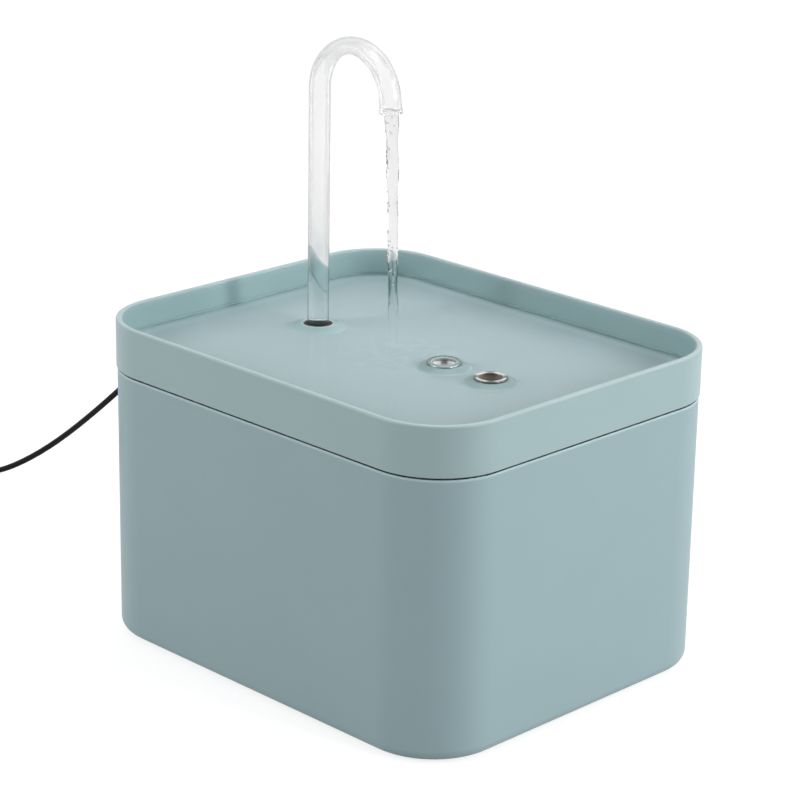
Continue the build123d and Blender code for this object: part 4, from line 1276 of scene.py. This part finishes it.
def buildCotton():
    low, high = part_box("filter_cotton")
    halfX, halfY, halfZ = (high - low) / 2
    centre, r, pullReach = (low + high) / 2, cottonLook["corner"], cottonLook["pullReach"]
    tufts, (across, upward) = cottonLook["tufts"], cottonLook["sideTufts"]
    work = bmesh.new()
    bmesh.ops.create_cube(work, size=1.0)
    bmesh.ops.subdivide_edges(work, edges=work.edges[:], cuts=cottonLook["cuts"], use_grid_fill=True)
    for vert in work.verts:
        x, y, z = (2 * c * h for c, h in zip(vert.co, (halfX, halfY, halfZ)))
        # pull the upright corners round, and the long edges soft
        cx, cy = abs(x) - (halfX - r), abs(y) - (halfY - r)
        if cx > 0 and cy > 0:
            shrink = max(cx, cy) / hypot(cx, cy)
            x = copysign(halfX - r + cx * shrink, x)
            y = copysign(halfY - r + cy * shrink, y)
        toSide = min(halfX - abs(x), halfY - abs(y))
        sink = cottonLook["slack"] * tufted(x * tufts, y * tufts, z * tufts)
        sink += cottonLook["softEdge"] * exp(-max(toSide, 0) / cottonLook["softReach"])
        z = copysign(max(abs(z) - sink * abs(z) / halfZ, 0.0), z)
        pull = cottonLook["pulledIn"] * tufted(x * across, y * across, z * upward + 5)
        if halfX - abs(x) < pullReach:
            x = copysign(abs(x) - pull, x)
        if halfY - abs(y) < pullReach:
            y = copysign(abs(y) - pull, y)
        vert.co = (centre.x + x, centre.y + y, centre.z + z)
    return addPiece("cottonPad", work)


def needledCotton(tree, look):
    lines = place(tree, hairlines, Width=0.12 * mm, Stretch=14.0)
    tangle = noiseAt(objectPlace(tree), 0.35 * mm, 6.0, 0.7, 2.5)
    fibre = tangle * (lines["Line"] + 0.4)
    return {
        "Base Color": layered(look["shade"], (spread(fibre, 0, 1, 0.2, 0.8), look["colour"])),
        "Roughness": spread(tangle, 0.85, 1.0),
        "Sheen Weight": 0.5,
        "Normal": relief(fibre, 0.2 * mm),
    }


cottonPad = buildCotton()
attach(cottonPad, "filter")
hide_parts("filter_cotton")
dress("cottonFibre", needledCotton, cottonLook, cottonPad)
print("filter finished")

# Cable jacket: black vinyl with a faint mottle
jacketLook = {
    "colour": (0.003, 0.003, 0.003), "shade": (0.006, 0.006, 0.006),
    "rough": 0.45, "dust": 0.012, "specular": 0.12,
}


def vinylJacket(tree, look):
    dust = place(tree, settledDust, Size=0.8 * mm, Steepness=0.4)
    grain = place(tree, mouldGrain, Grain=0.3 * mm, Mottle=15 * mm)
    return {
        "Base Color": layered(
            look["colour"], (grain["Mottle"], look["shade"]), (dust["Mask"] * look["dust"], (0.3, 0.29, 0.28))
        ),
        "Roughness": spread(grain["Mottle"], look["rough"], look["rough"] + 0.12),
        "Specular IOR Level": look["specular"],
        "Normal": relief(grain["Height"], 0.012 * mm),
    }


dress("jacketVinyl", vinylJacket, jacketLook, cableLine, leadLine)

# Tie round the coil: a strip of hook tape
tieLook = {"colour": (0.022, 0.022, 0.024), "tip": (0.07, 0.07, 0.075), "pitch": 0.45 * mm}


def hookTape(tree, look):
    tip = spread(cellsAt(objectPlace(tree), look["pitch"]), 1, 0, 0.1, 0.5)
    return {
        "Base Color": layered(look["colour"], (tip, look["tip"])),
        "Roughness": spread(tip, 0.9, 0.6),
        "Sheen Weight": 0.3,
        "Normal": relief(tip, 0.15 * mm),
    }


dress("tieTape", hookTape, tieLook, "cable_tie")

# Plug: over-moulded grip, drawn steel shell, plastic tongue and plated contacts
gripLook = {
    **pumpLook, "colour": (0.014, 0.014, 0.015), "shade": (0.02, 0.02, 0.021), "rough": 0.4, "dust": 0.15,
}
dress("gripPlastic", mouldedPlastic, gripLook, "usb_plug_body")
dress("reliefRubber", rubber, {**sealLook, "dust": 0.2}, "usb_strain_relief")
shellLook = {
    "colour": (0.66, 0.66, 0.66), "shade": (0.56, 0.56, 0.57), "bright": (0.8, 0.8, 0.8),
    "rough": 0.16, "line": 0.12 * mm, "stretch": 18.0, "depth": 0.006 * mm,
}
dress("shellSteel", bareMetal, shellLook, "usb_plug_shell")
tongueLook = {**whiteLook, "colour": (0.7, 0.7, 0.69), "grain": 0.2 * mm}
dress("tonguePlastic", mouldedPlastic, tongueLook, "usb_plug_insulator")
contactLook = {
    **shellLook, "rough": 0.12,
    "colour": (0.83, 0.60, 0.26), "shade": (0.72, 0.49, 0.2), "bright": (0.9, 0.7, 0.38),
}
dress("contactGold", bareMetal, contactLook, "usb_contacts")
print("cable and plug finished")


# Rays straight from the camera, and the mirrored or refracted ones that no matt surface has scattered
def lightRays(tree):
    rays = put(tree, "LightPath", out=None)
    bounced = maths("MAXIMUM", rays["Is Glossy Ray"], rays["Is Transmission Ray"])
    return rays["Is Camera Ray"], bounced * maths("LESS_THAN", rays["Diffuse Depth"], 0.5)


# Floor and backdrop
room = {"colour": (0.41, 0.41, 0.415), "seenGlow": 0.78, "bouncedGlow": 0.6, "size": 6.0}


def glowingPaper(tree, look):
    fibre = noiseAt(objectPlace(tree), 1.5 * mm, 4.0)
    seen, mirrored = lightRays(tree)
    glow = maths("MAXIMUM", mirrored * look["bouncedGlow"], seen * look["seenGlow"])
    paper = Value(tree.nodes["Principled BSDF"].outputs[0])
    both = put(tree, "AddShader", {0: paper, 1: put(tree, "Emission", {"Strength": glow})})
    feed(tree.nodes["Material Output"], {"Surface": both})
    return {"Base Color": look["colour"], "Roughness": spread(fibre, 0.7, 0.85)}


half = room["size"] / 2
sheet = bpy.data.meshes.new("floorSheet")
corners = [(-half, -half, 0), (half, -half, 0), (half, half, 0), (-half, half, 0)]
sheet.from_pydata(corners, [], [(0, 1, 2, 3)])
floor = addObject("floorSheet", sheet)
dress("floorPaper", glowingPaper, room, floor)

# Sky: white to the eye, in reflections and through the clear pieces, and a low even light on the object
sky = {"ambient": 0.28, "seen": 1.0}


def addSky():
    world = scene.world = bpy.data.worlds.new("studioSky")
    world.use_nodes = True
    tree = world.node_tree
    tree.nodes.clear()
    seen = maths("MAXIMUM", *lightRays(tree))
    plain, white = (
        put(tree, "Background", {"Color": (1.0, 1.0, 1.0), "Strength": level})
        for level in (sky["ambient"], sky["seen"])
    )
    put(tree, "OutputWorld", {"Surface": put(tree, "MixShader", {0: seen, 1: plain, 2: white})}, out=None)


addSky()

# Lamps: large soft boxes well off to each side, so that the front corner is the darkest, a small one by each,
# and one overhead for the rim's top
lamps = {
    "distance": 1.5,
    "aim": Vector((0, 0, 0.08)),
    "boxes": {  # which way they are from there, their size and how bright they are
        "rightBox": ((0.74, 0.63, 0.36), (1.0, 0.8), 0.43),
        "rightLamp": ((0.993, 0.12, 0.28), (0.16, 0.5), 0.30),
        "leftBox": ((-0.50, -0.82, 0.36), (1.0, 0.8), 0.29),
        "leftLamp": ((-0.38, -0.92, 0.28), (0.2, 0.5), 0.13),
        "topBox": ((-0.15, 0.25, 1.0), (0.9, 0.9), 0.12),
    },
}
for name, (toward, size, level) in lamps["boxes"].items():
    data = bpy.data.lights.new(name, "AREA")
    data.shape = "RECTANGLE"
    data.size, data.size_y = size
    data.energy = level * pi**2 * lamps["distance"] ** 2
    lamp = addObject(name, data)
    toward = Vector(toward).normalized()
    lamp.location = lamps["aim"] + toward * lamps["distance"]
    lamp.rotation_euler = toward.to_track_quat("Z", "Y").to_euler()
print("floor, sky and lamps set")

bpy.context.view_layer.update()
